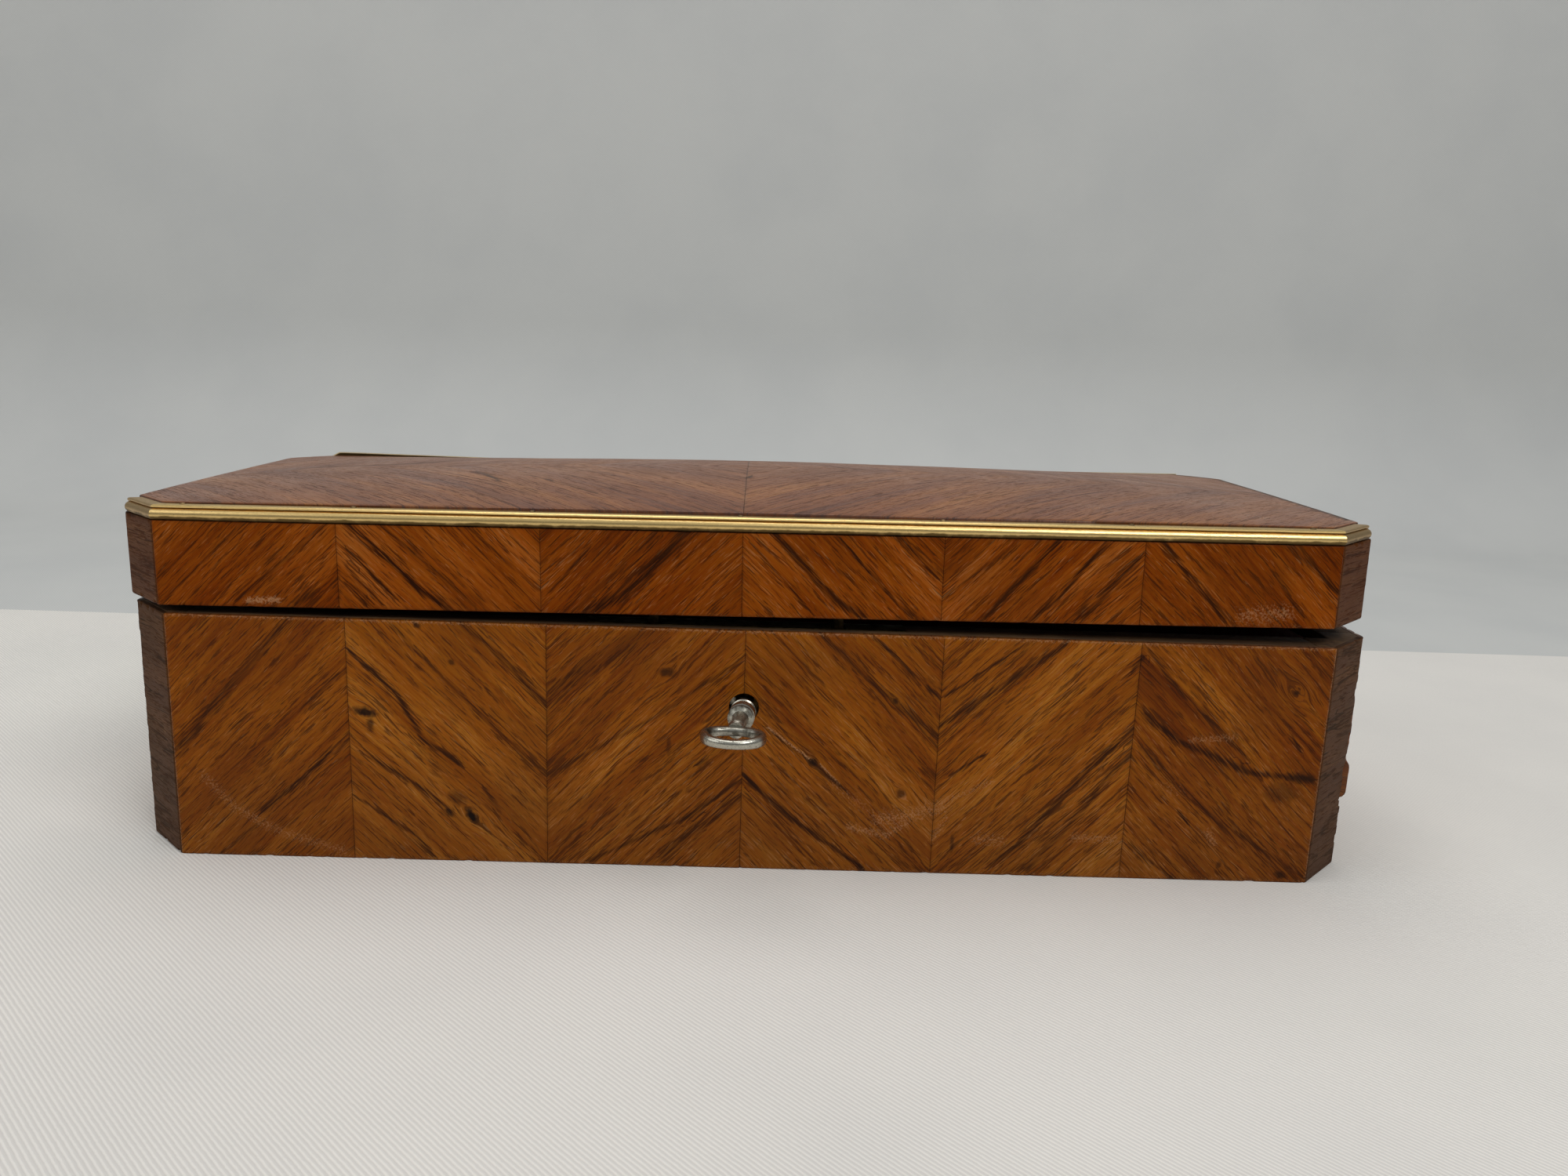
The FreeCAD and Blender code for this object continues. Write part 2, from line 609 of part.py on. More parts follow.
def make_key():
    """Barrel key in the lock: its bow lies level and its bit points to the left."""
    tip = f"({PLATE_FACE} - shank_tip_gap)"
    reach = f"({tip} + {HALF_DEPTH} + collar_gap)"
    shank = turned("key_shank", [
        (KEY_BORE, "0"),
        ("shank_radius", "0"),
        ("shank_radius", reach),
        ("0", reach),
        ("0", "bore_depth"),
        (KEY_BORE, "bore_depth"),
    ])
    place_at(shank, lock_x("0"), tip, KEY_Z, "-Y")
    neck_end = "(collar_length + neck_length)"
    ring = "(collar_radius + ring_rise)"
    head = turned("key_head", [
        ("0", "-ring_length"),
        ("neck_radius", "-ring_length"),
        ("neck_radius", "0"),
        (ring, "0"),
        (ring, "ring_length"),
        ("collar_radius", "ring_length"),
        ("collar_radius", "collar_length - 3 * ring_length"),
        (ring, "collar_length - 3 * ring_length"),
        (ring, "collar_length - 2 * ring_length"),
        ("collar_radius", "collar_length - 2 * ring_length"),
        ("collar_radius", "collar_length - ring_length"),
        (ring, "collar_length - ring_length"),
        (ring, "collar_length"),
        ("neck_radius", "collar_length"),
        ("neck_radius", neck_end),
        ("0", neck_end),
    ])
    key_head_place(head, "0", "-Y")
    bit = block("key_bit", lock_x("-bit_radius"), lock_x("-(lock_pin_radius + shank_radius) / 2"),
                f"{LOCK_MIDDLE} - bit_wide / 2", f"{LOCK_MIDDLE} + bit_wide / 2",
                f"{KEY_Z} - bit_thick / 2", f"{KEY_Z} + bit_thick / 2")
    ovals = []
    for name, inset in (("bow_outside", "0"), ("bow_eye", "bow_band")):
        line = doc.addObject("Part::Ellipse", name + "_line")
        bind(line, "MajorRadius", f"bow_half_width - {inset}")
        bind(line, "MinorRadius", f"bow_half_depth - {inset}")
        oval = doc.addObject("Part::Extrusion", name)
        oval.Base = line
        oval.DirMode = "Custom"
        oval.Dir = FreeCAD.Vector(0, 0, 1)
        oval.Solid = True
        oval.Symmetric = True
        bind(oval, "LengthFwd", "bow_tall")
        ovals.append(oval)
    bow = cut("key_bow", ovals[0], [ovals[1]])
    key_head_place(bow, f"{neck_end} - bow_band / 2 + bow_half_depth", "Z")
    return fuse("key_whole", [shank, head, bit, bow])


finish(make_key(), "key")


# Hinges
for side_name, side in (("left", -1), ("right", 1)):
    lower, lower_bore = hinge_leaf(f"{side_name}_lower_leaf", side, "base_height - leaf_thick", "base_height",
                                   "base_height - leaf_thick", "base_height", 0)
    finish(cut(f"{side_name}_lower_bored", lower, [lower_bore]), f"{side_name}_hinge_lower_leaf")
    rim = lid_rim_at(side)
    upper, upper_bore = hinge_leaf(f"{side_name}_upper_leaf", side, rim, f"{rim} + leaf_thick", PIVOT_Z,
                                   f"{rim} + leaf_thick", 1)
    finish(cut(f"{side_name}_upper_bored", upper, [upper_bore]), f"{side_name}_hinge_upper_leaf")
    finish(rod(f"{side_name}_pin_rod", "hinge_pin_radius", "hinge_length",
               f"{side} * {HINGE_X} - hinge_length / 2", PIVOT_Y, PIVOT_Z, "X"), f"{side_name}_hinge_pin")


# Lid carcase, drawn from the middle of its rim
finish_on_lid(end_board("lid_left", -1, "0", LID_BOARD_TOP), "lid_left_board")
finish_on_lid(end_board("lid_right", 1, "0", LID_BOARD_TOP), "lid_right_board")
finish_on_lid(corner_posts("lid_posts", "0", LID_BOARD_TOP), "lid_corner_posts")


def striker_x(across):
    """A place across the striker; it is set over to meet the lock, because the lid sits to the left."""
    return f"({lock_x(across)} + lid_shift_left)"


STRIKER_MIDDLE = f"({LOCK_MIDDLE} - lid_shift_back)"
STRIKER_HALF = f"({STAPLE_X} + striker_margin)"
striker_span = (striker_x(f"-{STRIKER_HALF}"), striker_x(STRIKER_HALF),
                f"{STRIKER_MIDDLE} - case_depth / 2", f"{STRIKER_MIDDLE} + case_depth / 2")
lid_front_blank = long_board("lid_front_blank", -1, "0", LID_BOARD_TOP)
striker_seat = block("striker_seat", *striker_span, "-cut_overrun", "plate_thick")
finish_on_lid(cut("lid_front", lid_front_blank, [striker_seat]), "lid_front_board")

lid_back_blank = long_board("lid_back_blank", 1, "0", LID_BOARD_TOP)
lid_sinkings = []
for side_name, side in (("left", -1), ("right", 1)):
    lid_sinkings += hinge_sinkings(f"lid_{side_name}_hinge", side, "lid_shift_left", "(-lid_shift_back)",
                                   "0", 1)
finish_on_lid(cut("lid_back", lid_back_blank, lid_sinkings), "lid_back_board")

# Domed top panel and its quartered veneer
dome = doc.addObject("Part::Feature", "dome_surface")
patch = Part.BezierSurface()
patch.increase(2, 2)
edge_height = size("lid_wall") + size("top_edge") - size("veneer_thick")
for column in range(3):
    for line in range(3):
        # The middle pole stands four times as high as the crest that it pulls up.
        lift = 4 * size("dome_rise") if (column, line) == (1, 1) else 0
        pole = FreeCAD.Vector((column - 1) * size("box_length") / 2, (line - 1) * size("box_depth") / 2,
                              edge_height + lift)
        patch.setPole(column + 1, line + 1, pole)
dome.Shape = patch.toShape()


def swept_dome(name, direction, length):
    body = doc.addObject("Part::Extrusion", name)
    body.Base = dome
    body.DirMode = "Custom"
    body.Dir = FreeCAD.Vector(0, 0, direction)
    body.Solid = True
    bind(body, "LengthFwd", length)
    return body


panel_steps = doc.addObject("PartDesign::Body", "panel_steps")
add_pad(panel_steps, "panel_ledge", "XY_Plane", octagon("veneer_thick"), LID_BOARD_TOP, "lid_wall")
add_pad(panel_steps, "panel_field", "XY_Plane", octagon("moulding_width"), LID_BOARD_TOP,
        "lid_wall + top_edge + dome_rise + cut_overrun")
dome_below = swept_dome("dome_below", -1, "dome_rise + top_edge + top_board + cut_overrun")
finish_on_lid(common("panel", panel_steps, dome_below), "lid_top_panel")

veneer_sheet = swept_dome("dome_veneer_sheet", 1, "veneer_thick")
quarters = []
for index, (x_side, y_side) in enumerate(CORNER_SIGNS, start=1):
    quarter_plan = [
        corner(x_side, y_side, "moulding_width", "long"),
        corner(x_side, y_side, "moulding_width", "end"),
        (f"{x_side} * ({HALF_LENGTH} - moulding_width)", "0"),
        (SEAM_X, "0"),
        (SEAM_X, f"{y_side} * ({HALF_DEPTH} - moulding_width)"),
    ]
    quarter = prism(f"quarter_plan_{index}", "XY_Plane", quarter_plan, "lid_wall",
                    "lid_wall + top_edge + dome_rise + cut_overrun")
    quarters.append(common(f"quarter_{index}", veneer_sheet, quarter))
finish_on_lid(group("top_quarters", quarters), "lid_top_veneer")

# Veneers round the lid
finish_on_lid(group("lid_front_leaves", front_leaves("lid_front_veneer", "0", "lid_wall")), "lid_front_veneer")
lid_back_sheet = side_veneer("lid_back_sheet", "back", "0", "lid_wall")
finish_on_lid(cut("lid_back_notched", lid_back_sheet, lid_sinkings), "lid_back_veneer")
finish_on_lid(side_veneer("lid_left_sheet", "left", "0", "lid_wall"), "lid_left_veneer")
finish_on_lid(side_veneer("lid_right_sheet", "right", "0", "lid_wall"), "lid_right_veneer")
finish_on_lid(corner_veneers("lid_cants", "0", "lid_wall"), "lid_corner_veneers")

# Brass moulding; the strips of both ends and of the back left corner are lost
cant_middle_x = f"({HALF_LENGTH} - corner_cant / 2)"
cant_middle_y = f"({HALF_DEPTH} - corner_cant / 2)"
MOULDINGS = {
    "front": ("0", f"-{HALF_DEPTH}", 0, HALF_LENGTH),
    "front_right": (cant_middle_x, f"-{cant_middle_y}", 45, "corner_cant"),
    "back_right": (cant_middle_x, cant_middle_y, 135, "corner_cant"),
    "back": ("0", HALF_DEPTH, 180, HALF_LENGTH),
    "front_left": (f"-{cant_middle_x}", f"-{cant_middle_y}", -45, "corner_cant"),
}
for side_name, (x_place, y_place, angle, reach) in MOULDINGS.items():
    section = [
        ("bead_radius - bead_proud", "0"),
        ("moulding_width", "0"),
        ("moulding_width", "moulding_height"),
        ("bead_radius - bead_proud", "moulding_height"),
    ]
    flange = prism(f"flange_{side_name}", "YZ_Plane", section, f"-({reach})", reach)
    bead = rod(f"bead_{side_name}", "bead_radius", f"2 * ({reach})", f"-({reach})", "bead_radius - bead_proud",
               "bead_radius", "X")
    strip = fuse(f"strip_{side_name}", [flange, bead])
    strip.Placement = FreeCAD.Placement(FreeCAD.Vector(), FreeCAD.Rotation(FreeCAD.Vector(0, 0, 1), angle))
    for axis, text in (("x", x_place), ("y", y_place), ("z", "lid_wall")):
        bind(strip, "Placement.Base." + axis, text)
    wedge = prism(f"wedge_{side_name}", "XY_Plane", ring_piece(side_name, "-cut_overrun", "moulding_width"),
                  "lid_wall", "lid_wall + moulding_height")
    finish_on_lid(common(f"mitred_{side_name}", strip, wedge), f"moulding_{side_name}")


def make_striker():
    """Striker plate under the front of the lid, with two staples that enter the lock."""
    plate = block("striker_blank", *striker_span, "0", "plate_thick")
    staples = []
    eyes = []
    for index, x_side in enumerate((-1, 1), start=1):
        left = striker_x(f"{x_side} * {STAPLE_X} - staple_thick / 2")
        right = striker_x(f"{x_side} * {STAPLE_X} + staple_thick / 2")
        staples.append(block(f"staple_{index}", left, right, f"{STRIKER_MIDDLE} - {STAPLE_WIDTH} / 2",
                             f"{STRIKER_MIDDLE} + {STAPLE_WIDTH} / 2", "-staple_drop", "0"))
        eyes.append(block(f"staple_eye_{index}", f"{left} - cut_overrun", f"{right} + cut_overrun",
                          f"{STRIKER_MIDDLE} - hook_thick / 2 - eye_play",
                          f"{STRIKER_MIDDLE} + hook_thick / 2 + eye_play",
                          "eye_low - staple_drop", "eye_low - staple_drop + eye_tall"))
    return cut("striker_pierced", fuse("striker_whole", [plate, *staples]), eyes)


finish_on_lid(make_striker(), "striker_plate")


# Satin linings
def wall_lining(name, side, low, high):
    """Thin lined card along one inner wall; the end cards stand between the long ones."""
    sign = -1 if side in ("front", "left") else 1
    if side in ("front", "back"):
        reach = f"({INNER_X} - soft_gap)"
        faces = (f"{sign} * ({INNER_Y} - soft_gap)", f"{sign} * ({INNER_Y} - soft_gap - lining_thick)")
        plan = [(f"-{reach}", faces[0]), (reach, faces[0]), (reach, faces[1]), (f"-{reach}", faces[1])]
    else:
        reach = f"({INNER_Y} - 2 * soft_gap - lining_thick)"
        faces = (f"{sign} * ({INNER_X} - soft_gap)", f"{sign} * ({INNER_X} - soft_gap - lining_thick)")
        plan = [(faces[0], f"-{reach}"), (faces[0], reach), (faces[1], reach), (faces[1], f"-{reach}")]
    return prism(name, "XY_Plane", plan, low, high)


lining_low = "(bottom_thick + soft_gap)"
lining_high = "(base_height - lining_reveal)"
lock_notch = block("lining_notch", lock_x(f"-{LOCK_HALF} - soft_gap"), lock_x(f"{LOCK_HALF} + soft_gap"),
                   f"-{INNER_Y}", f"-{INNER_Y} + lining_thick + 2 * soft_gap", f"{LOCK_LOW} - soft_gap",
                   "base_height")
finish(cut("front_lining_notched", wall_lining("front_lining", "front", lining_low, lining_high), [lock_notch]),
       "base_front_lining")
finish(wall_lining("back_lining", "back", lining_low, lining_high), "base_back_lining")
for side_name in ("left", "right"):
    finish(wall_lining(f"{side_name}_lining", side_name, lining_low, lining_high), f"base_{side_name}_lining")
for side_name in ("front", "back", "left", "right"):
    card = wall_lining(f"lid_{side_name}_card", side_name, "lining_reveal", f"{LID_BOARD_TOP} - soft_gap")
    finish_on_lid(card, f"lid_{side_name}_lining")


def cushion(name, low, thick, crown, direction):
    """Pad with a crowned face and edges drawn in; direction is 1 for crown up and -1 for crown down."""
    reach_x = f"({INNER_X} - 2 * soft_gap - lining_thick)"
    reach_y = f"({INNER_Y} - 2 * soft_gap - lining_thick)"
    body = doc.addObject("PartDesign::Body", name)
    levels = (
        ("0", "pad_edge"),
        (f"{thick} / 2", "0"),
        (thick, "pad_edge"),
        (f"{thick} + {crown}", "crown_inset"),
    )
    sketches = []
    for index, (rise, inset) in enumerate(levels):
        plan = [
            (f"{x_side} * ({reach_x} - {inset})", f"{y_side} * ({reach_y} - {inset})")
            for x_side, y_side in CORNER_SIGNS
        ]
        level = f"{low} + {direction} * ({rise})"
        sketches.append(outline(body, f"{name}_level_{index}", "XY_Plane", level, plan))
    loft = body.newObject("PartDesign::AdditiveLoft", name + "_loft")
    loft.Profile = sketches[0]
    loft.Sections = sketches[1:]
    loft.Ruled = True
    return body


finish(cushion("floor_cushion", "(bottom_thick + soft_gap)", "floor_pad_thick", "floor_pad_crown", 1),
       "base_floor_pad")
finish_on_lid(cushion("lid_cushion", f"({LID_BOARD_TOP} - soft_gap)", "lid_pad_thick", "lid_pad_crown", -1),
              "lid_pad")

doc.recompute()

for item in doc.Objects:
    if "Invalid" in item.State or "Error" in item.State:
        raise RuntimeError(f"{item.Label} did not build: {item.State}")
for label, item in nodes.items():
    if item.Shape.isNull() or not item.Shape.isValid() or not item.Shape.Solids:
        raise RuntimeError(f"{label} has no valid solid")

os.makedirs("parts", exist_ok=True)
for label, item in nodes.items():
    item.Shape.exportStep(f"parts/{label}.step")
    box = item.Shape.BoundBox
    print(f"{label}: {len(item.Shape.Solids)} solids, {item.Shape.Volume:.1f} mm3, "
          f"x {box.XMin:.2f} to {box.XMax:.2f}, y {box.YMin:.2f} to {box.YMax:.2f}, "
          f"z {box.ZMin:.2f} to {box.ZMax:.2f}")
print(f"{len(nodes)} sub-parts")
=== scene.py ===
"""Dresses the antique glove box: sawn rosewood, brass, lock and key, satin, and a plain studio."""
import logging
import math
from dataclasses import dataclass, field
from enum import Enum
from functools import partialmethod

import bmesh
import bpy
import numpy as np
from bpy.types import Material, Mesh, Node, NodeSocket, Object
from mathutils import Matrix, Vector, noise
from numpy import ndarray

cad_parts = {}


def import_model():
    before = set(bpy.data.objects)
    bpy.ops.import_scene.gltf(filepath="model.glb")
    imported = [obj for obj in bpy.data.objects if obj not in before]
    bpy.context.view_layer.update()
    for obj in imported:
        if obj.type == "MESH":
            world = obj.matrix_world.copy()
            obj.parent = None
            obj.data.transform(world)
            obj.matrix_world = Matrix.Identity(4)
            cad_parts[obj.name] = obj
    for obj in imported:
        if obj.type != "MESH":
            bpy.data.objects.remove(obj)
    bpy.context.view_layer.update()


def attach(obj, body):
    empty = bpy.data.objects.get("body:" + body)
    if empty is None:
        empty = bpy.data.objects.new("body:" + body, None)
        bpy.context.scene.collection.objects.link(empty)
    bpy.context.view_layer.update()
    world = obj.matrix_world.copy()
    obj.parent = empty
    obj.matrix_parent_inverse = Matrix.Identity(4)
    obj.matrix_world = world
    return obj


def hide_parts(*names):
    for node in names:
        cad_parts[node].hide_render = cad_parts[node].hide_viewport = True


LOG = logging.getLogger("glove_box")
MM = 0.001
MITRE = math.tan(math.radians(22.5))
WELD = 1e-6  # metres: points closer than this are one
OUTER_LIP = 0.5  # millimetres: width of the rounding at an outer edge of the veneer
SEAM_LIP = 0.12  # millimetres: the same where two leaves meet
SEAM_GAP = 0.012  # millimetres: room left at a seam on the glued side
DIAGONAL = math.sqrt(0.5)  # cosine and sine of 45 degrees
Pair = tuple[float, float]
Triple = tuple[float, float, float]
Face = tuple[int, ...]
Tint = Triple  # a colour given as 0 to 255
Feed = NodeSocket | float | Tint  # what goes into a socket: another socket or a constant


class Axis(Enum):
    """Direction in which the grain of a board runs."""

    LENGTH = "length"
    DEPTH = "depth"
    HEIGHT = "height"


class Side(Enum):
    """The eight sides of the plan; each holds its two end corners, going round from the front."""

    FRONT = ((-1, -1, True), (1, -1, True))
    FRONT_RIGHT = ((1, -1, True), (1, -1, False))
    RIGHT = ((1, -1, False), (1, 1, False))
    BACK_RIGHT = ((1, 1, False), (1, 1, True))
    BACK = ((1, 1, True), (-1, 1, True))
    BACK_LEFT = ((-1, 1, True), (-1, 1, False))
    LEFT = ((-1, 1, False), (-1, -1, False))
    FRONT_LEFT = ((-1, -1, False), (-1, -1, True))


CANTS = (Side.FRONT_LEFT, Side.FRONT_RIGHT, Side.BACK_RIGHT, Side.BACK_LEFT)


@dataclass(frozen=True)
class BoxPlan:
    """Sizes of the case shared by its pieces, in millimetres."""

    half_length: float = 150.0
    half_depth: float = 59.0
    cant: float = 12.5
    base_height: float = 60.0
    lid_wall: float = 19.8
    veneer: float = 1.2
    seam_shift: float = -2.3
    leaf_width: float = 46.7
    moulding_width: float = 3.2
    moulding_height: float = 3.6
    dome_rise: float = 5.4
    dome_base: float = 22.4
    lid_cock: float = 0.57
    lid_nod: float = 0.6
    lid_seat: Triple = (-1.1, 59.3, 62.0)

    def corner(self, x_side: int, y_side: int, on_long: bool, inset: float) -> ndarray:
        """Finds a corner of the eight-sided plan.

        Args:
            x_side: -1 for the left end, 1 for the right.
            y_side: -1 for the front, 1 for the back.
            on_long: whether the corner ends the long side or the end side.
            inset: distance that the outline is drawn in.

        Returns:
            The corner's x and y.
        """
        if on_long:
            return np.array([x_side * (self.half_length - self.cant - MITRE * inset),
                             y_side * (self.half_depth - inset)])
        return np.array([x_side * (self.half_length - inset),
                         y_side * (self.half_depth - self.cant - MITRE * inset)])

    def edge(self, side: Side, inset: float) -> tuple[ndarray, ndarray]:
        """Gives the two ends of one side, left to right as seen from outside.

        Args:
            side: which side of the plan.
            inset: distance that the outline is drawn in.

        Returns:
            First and last corner.
        """
        first, last = side.value
        return self.corner(*first, inset), self.corner(*last, inset)

    def seams(self) -> tuple[float, ...]:
        """Places along the front where two leaves of veneer meet."""
        return tuple(self.seam_shift + step * self.leaf_width for step in (-2, -1, 0, 1, 2))

    def dome(self, x: ndarray, y: ndarray) -> ndarray:
        """Height of the top panel above the rim of the lid.

        Args:
            x: places along the box.
            y: places across the box.

        Returns:
            Heights in the lid's own frame.
        """
        along = 1.0 - (x / self.half_length) ** 2
        across = 1.0 - (y / self.half_depth) ** 2
        return self.dome_base + self.dome_rise * along * across

    def lid_place(self) -> Matrix:
        """Where the warped lid sits, as a transform in millimetres."""
        turn = Matrix.Rotation(-math.radians(self.lid_cock), 4, "Y")
        turn = turn @ Matrix.Rotation(-math.radians(self.lid_nod), 4, "X")
        return Matrix.Translation(self.lid_seat) @ turn @ Matrix.Translation((0.0, -self.half_depth, 0.0))


PLAN = BoxPlan()


def linear(red: float, green: float, blue: float) -> tuple[float, float, float, float]:
    """Turns a given colour, 0 to 255, into the shader's linear values with full opacity."""
    parts = [part / 255.0 for part in (red, green, blue)]
    parts = [part / 12.92 if part <= 0.04045 else ((part + 0.055) / 1.055) ** 2.4 for part in parts]
    return (*parts, 1.0)


def drift(points: ndarray, seed: float) -> ndarray:
    """Smooth random value from about -1 to 1 for each place, the same on every run."""
    shift = Vector((seed * 3.1, seed * 7.7, seed * 1.9))
    return np.array([noise.noise(Vector(point) + shift) for point in points.tolist()])


def smooth_band(values: ndarray, low: float, high: float) -> ndarray:
    """Eased step of the values, from 0 at low to 1 at high."""
    share = np.clip((values - low) / (high - low), 0.0, 1.0)
    return share * share * (3.0 - 2.0 * share)


def bell(away: ndarray, width: float) -> ndarray:
    """Share that is 1 in the middle and fades over one width."""
    return np.exp(-((away / width) ** 2))


def round_off(away: ndarray, width: float) -> ndarray:
    """How far an edge has fallen off: 1 at the edge, 0 from one width inside it."""
    return (1.0 - np.clip(away / width, 0.0, 1.0)) ** 2


def rows(*parts: ndarray | float) -> ndarray:
    """One row for each place from its separate parts; a single number fills its column."""
    return np.stack(np.broadcast_arrays(*parts), 1)


def crossed(first: ndarray, second: ndarray) -> tuple[ndarray, ...]:
    """Every pair of places of two edges, in the order of a grid."""
    return tuple(grid.ravel() for grid in np.meshgrid(first, second, indexing="ij"))


def moved(points: ndarray, place: Matrix) -> ndarray:
    """Points after a transform."""
    turn = np.array(place)
    return points @ turn[:3, :3].T + turn[:3, 3]


# Meshes


def stations(low: float, high: float, cell: float, lips: Pair) -> ndarray:
    """Places along one edge of a grid, close together at both ends.

    Args:
        low: first place.
        high: last place.
        cell: spacing between the ends.
        lips: width of the rounded edge at the first and the last place.

    Returns:
        Rising places.
    """
    shares = np.array([0.0, 0.2, 0.5, 1.0])
    start, end = low + shares * lips[0], high - shares[::-1] * lips[1]
    count = max(2, round((end[0] - start[-1]) / cell))
    return np.concatenate([start[:-1], np.linspace(start[-1], end[0], count + 1), end[1:]])


def grid_faces(columns: int, lines: int, rising: bool, start: int = 0, flip: bool = False) -> list[Face]:
    """Triangles of a grid of points, all split along the same diagonal.

    Args:
        columns: points along the first direction.
        lines: points along the second direction.
        rising: whether the diagonal rises to the right.
        start: number of the first point.
        flip: whether the triangles face the other way.

    Returns:
        Corner numbers of each triangle.
    """
    low = (np.arange(columns - 1)[:, None] * lines + np.arange(lines - 1)[None, :]).ravel() + start
    right, top, far = low + lines, low + 1, low + lines + 1
    if rising:
        pairs = np.concatenate([np.stack([low, right, far], 1), np.stack([low, far, top], 1)])
    else:
        pairs = np.concatenate([np.stack([low, right, top], 1), np.stack([right, far, top], 1)])
    if flip:
        pairs = pairs[:, ::-1]
    return [tuple(row) for row in pairs.tolist()]


def closed_slab(face: ndarray, back: ndarray, rising: bool, curved: bool) -> tuple[ndarray, list]:
    """Closes a detailed face with side walls and a back.

    Args:
        face: grid of points of the outside.
        back: grid of the same size on the glued side.
        rising: diagonal of the face's triangles.
        curved: whether the back needs its whole grid rather than one flat polygon.

    Returns:
        Points and faces.
    """
    columns, lines = face.shape[:2]
    number = np.arange(columns * lines).reshape(columns, lines)
    ring = [*number[:, 0], *number[-1, 1:], *number[-2::-1, -1], *number[0, -2:0:-1]]
    faces = grid_faces(columns, lines, rising)
    points = face.reshape(-1, 3)
    if curved:
        points = np.concatenate([points, back.reshape(-1, 3)])
        inner = [place + columns * lines for place in ring]
        faces += grid_faces(columns, lines, rising, columns * lines, True)
    else:
        points = np.concatenate([points, back.reshape(-1, 3)[ring]])
        inner = list(range(columns * lines, columns * lines + len(ring)))
        faces.append(tuple(reversed(inner)))
    for step, place in enumerate(ring):
        following = (step + 1) % len(ring)
        faces.append((int(place), int(inner[step]), int(inner[following]), int(ring[following])))
    return points, faces


def link(name: str, data: bpy.types.ID) -> Object:
    """Puts a new object in the scene."""
    item = bpy.data.objects.new(name, data)
    bpy.context.scene.collection.objects.link(item)
    return item


def raw_mesh(name: str, points: ndarray, faces: list) -> Mesh:
    """Makes a mesh in metres from points in millimetres.

    Args:
        name: name of the mesh.
        points: places, one row each.
        faces: corner numbers of each face.

    Returns:
        The mesh.
    """
    mesh = bpy.data.meshes.new(name)
    mesh.from_pydata((np.asarray(points) * MM).tolist(), [], faces)
    mesh.update()
    return mesh


def closed_mesh(name: str, points: ndarray, faces: list) -> Mesh:
    """Makes a mesh in metres whose faces all look outward."""
    mesh = raw_mesh(name, points, faces)
    face_out(mesh)
    return mesh


def keep(mesh: Mesh, key: str, values: ndarray | list) -> None:
    """Stores a number or a vector on every point of a mesh."""
    values = np.asarray(values, dtype=np.float32)
    kind, part = ("FLOAT", "value") if values.ndim == 1 else ("FLOAT_VECTOR", "vector")
    mesh.attributes.new(key, kind, "POINT").data.foreach_set(part, values.ravel())


def link_piece(name: str, mesh: Mesh, angle: float = 35.0) -> Object:
    """Puts a mesh at the origin as a smooth piece whose edges sharper than the angle stay crisp."""
    mesh.shade_smooth()
    mesh.set_sharp_from_angle(angle=math.radians(angle))
    return link(name, mesh)


def settled_mesh(source: Object) -> Mesh:
    """Takes the evaluated mesh of an object and removes the object.

    Args:
        source: object with its modifiers.

    Returns:
        The plain mesh.
    """
    graph = bpy.context.evaluated_depsgraph_get()
    mesh = bpy.data.meshes.new_from_object(source.evaluated_get(graph))
    bpy.data.objects.remove(source)
    return mesh


def face_out(mesh: Mesh) -> None:
    """Merges doubled points of a closed mesh and turns its faces outward.

    Args:
        mesh: mesh that is changed.
    """
    shape = bmesh.new()
    shape.from_mesh(mesh)
    bmesh.ops.remove_doubles(shape, verts=shape.verts, dist=WELD)
    bmesh.ops.recalc_face_normals(shape, faces=shape.faces)
    shape.to_mesh(mesh)
    shape.free()


def block_mesh(name: str, low: Triple, high: Triple,
               bevel: float = 0.0) -> Mesh:
    """A box with softened edges, in millimetres.

    Args:
        name: name of the mesh.
        low: lowest corner.
        high: highest corner.
        bevel: width of the softened edge.

    Returns:
        The mesh, in metres.
    """
    shape = bmesh.new()
    bmesh.ops.create_cube(shape, size=1.0)
    low_corner, high_corner = Vector(low) * MM, Vector(high) * MM
    for vert in shape.verts:
        vert.co = Vector(low_corner[i] if vert.co[i] < 0 else high_corner[i] for i in range(3))
    if bevel:
        bmesh.ops.bevel(shape, geom=shape.edges[:], offset=bevel * MM, segments=3, profile=0.6,
                        affect="EDGES")
    mesh = bpy.data.meshes.new(name)
    shape.to_mesh(mesh)
    shape.free()
    return mesh


def carve(mesh: Mesh, cutters: list[Mesh]) -> Mesh:
    """Cuts closed shapes out of a closed mesh.

    Args:
        mesh: what is cut.
        cutters: what is taken away.

    Returns:
        The cut mesh.
    """
    blank = link("blank", mesh)
    tools = [link("tool", cutter) for cutter in cutters]
    for tool in tools:
        change = blank.modifiers.new("cut", "BOOLEAN")
        change.operation, change.solver, change.object = "DIFFERENCE", "EXACT", tool
    cut = settled_mesh(blank)
    for tool in tools:
        bpy.data.objects.remove(tool)
    return cut


def ring_faces(turns: int, sides: int) -> list[Face]:
    """Faces round a closed band of rings that each have the same number of points.

    Args:
        turns: number of rings.
        sides: points in each ring.

    Returns:
        Corner numbers of each face.
    """
    faces = []
    for turn in range(turns):
        here, there = turn * sides, (turn + 1) % turns * sides
        for side in range(sides):
            after = (side + 1) % sides
            faces.append((here + side, there + side, there + after, here + after))
    return faces


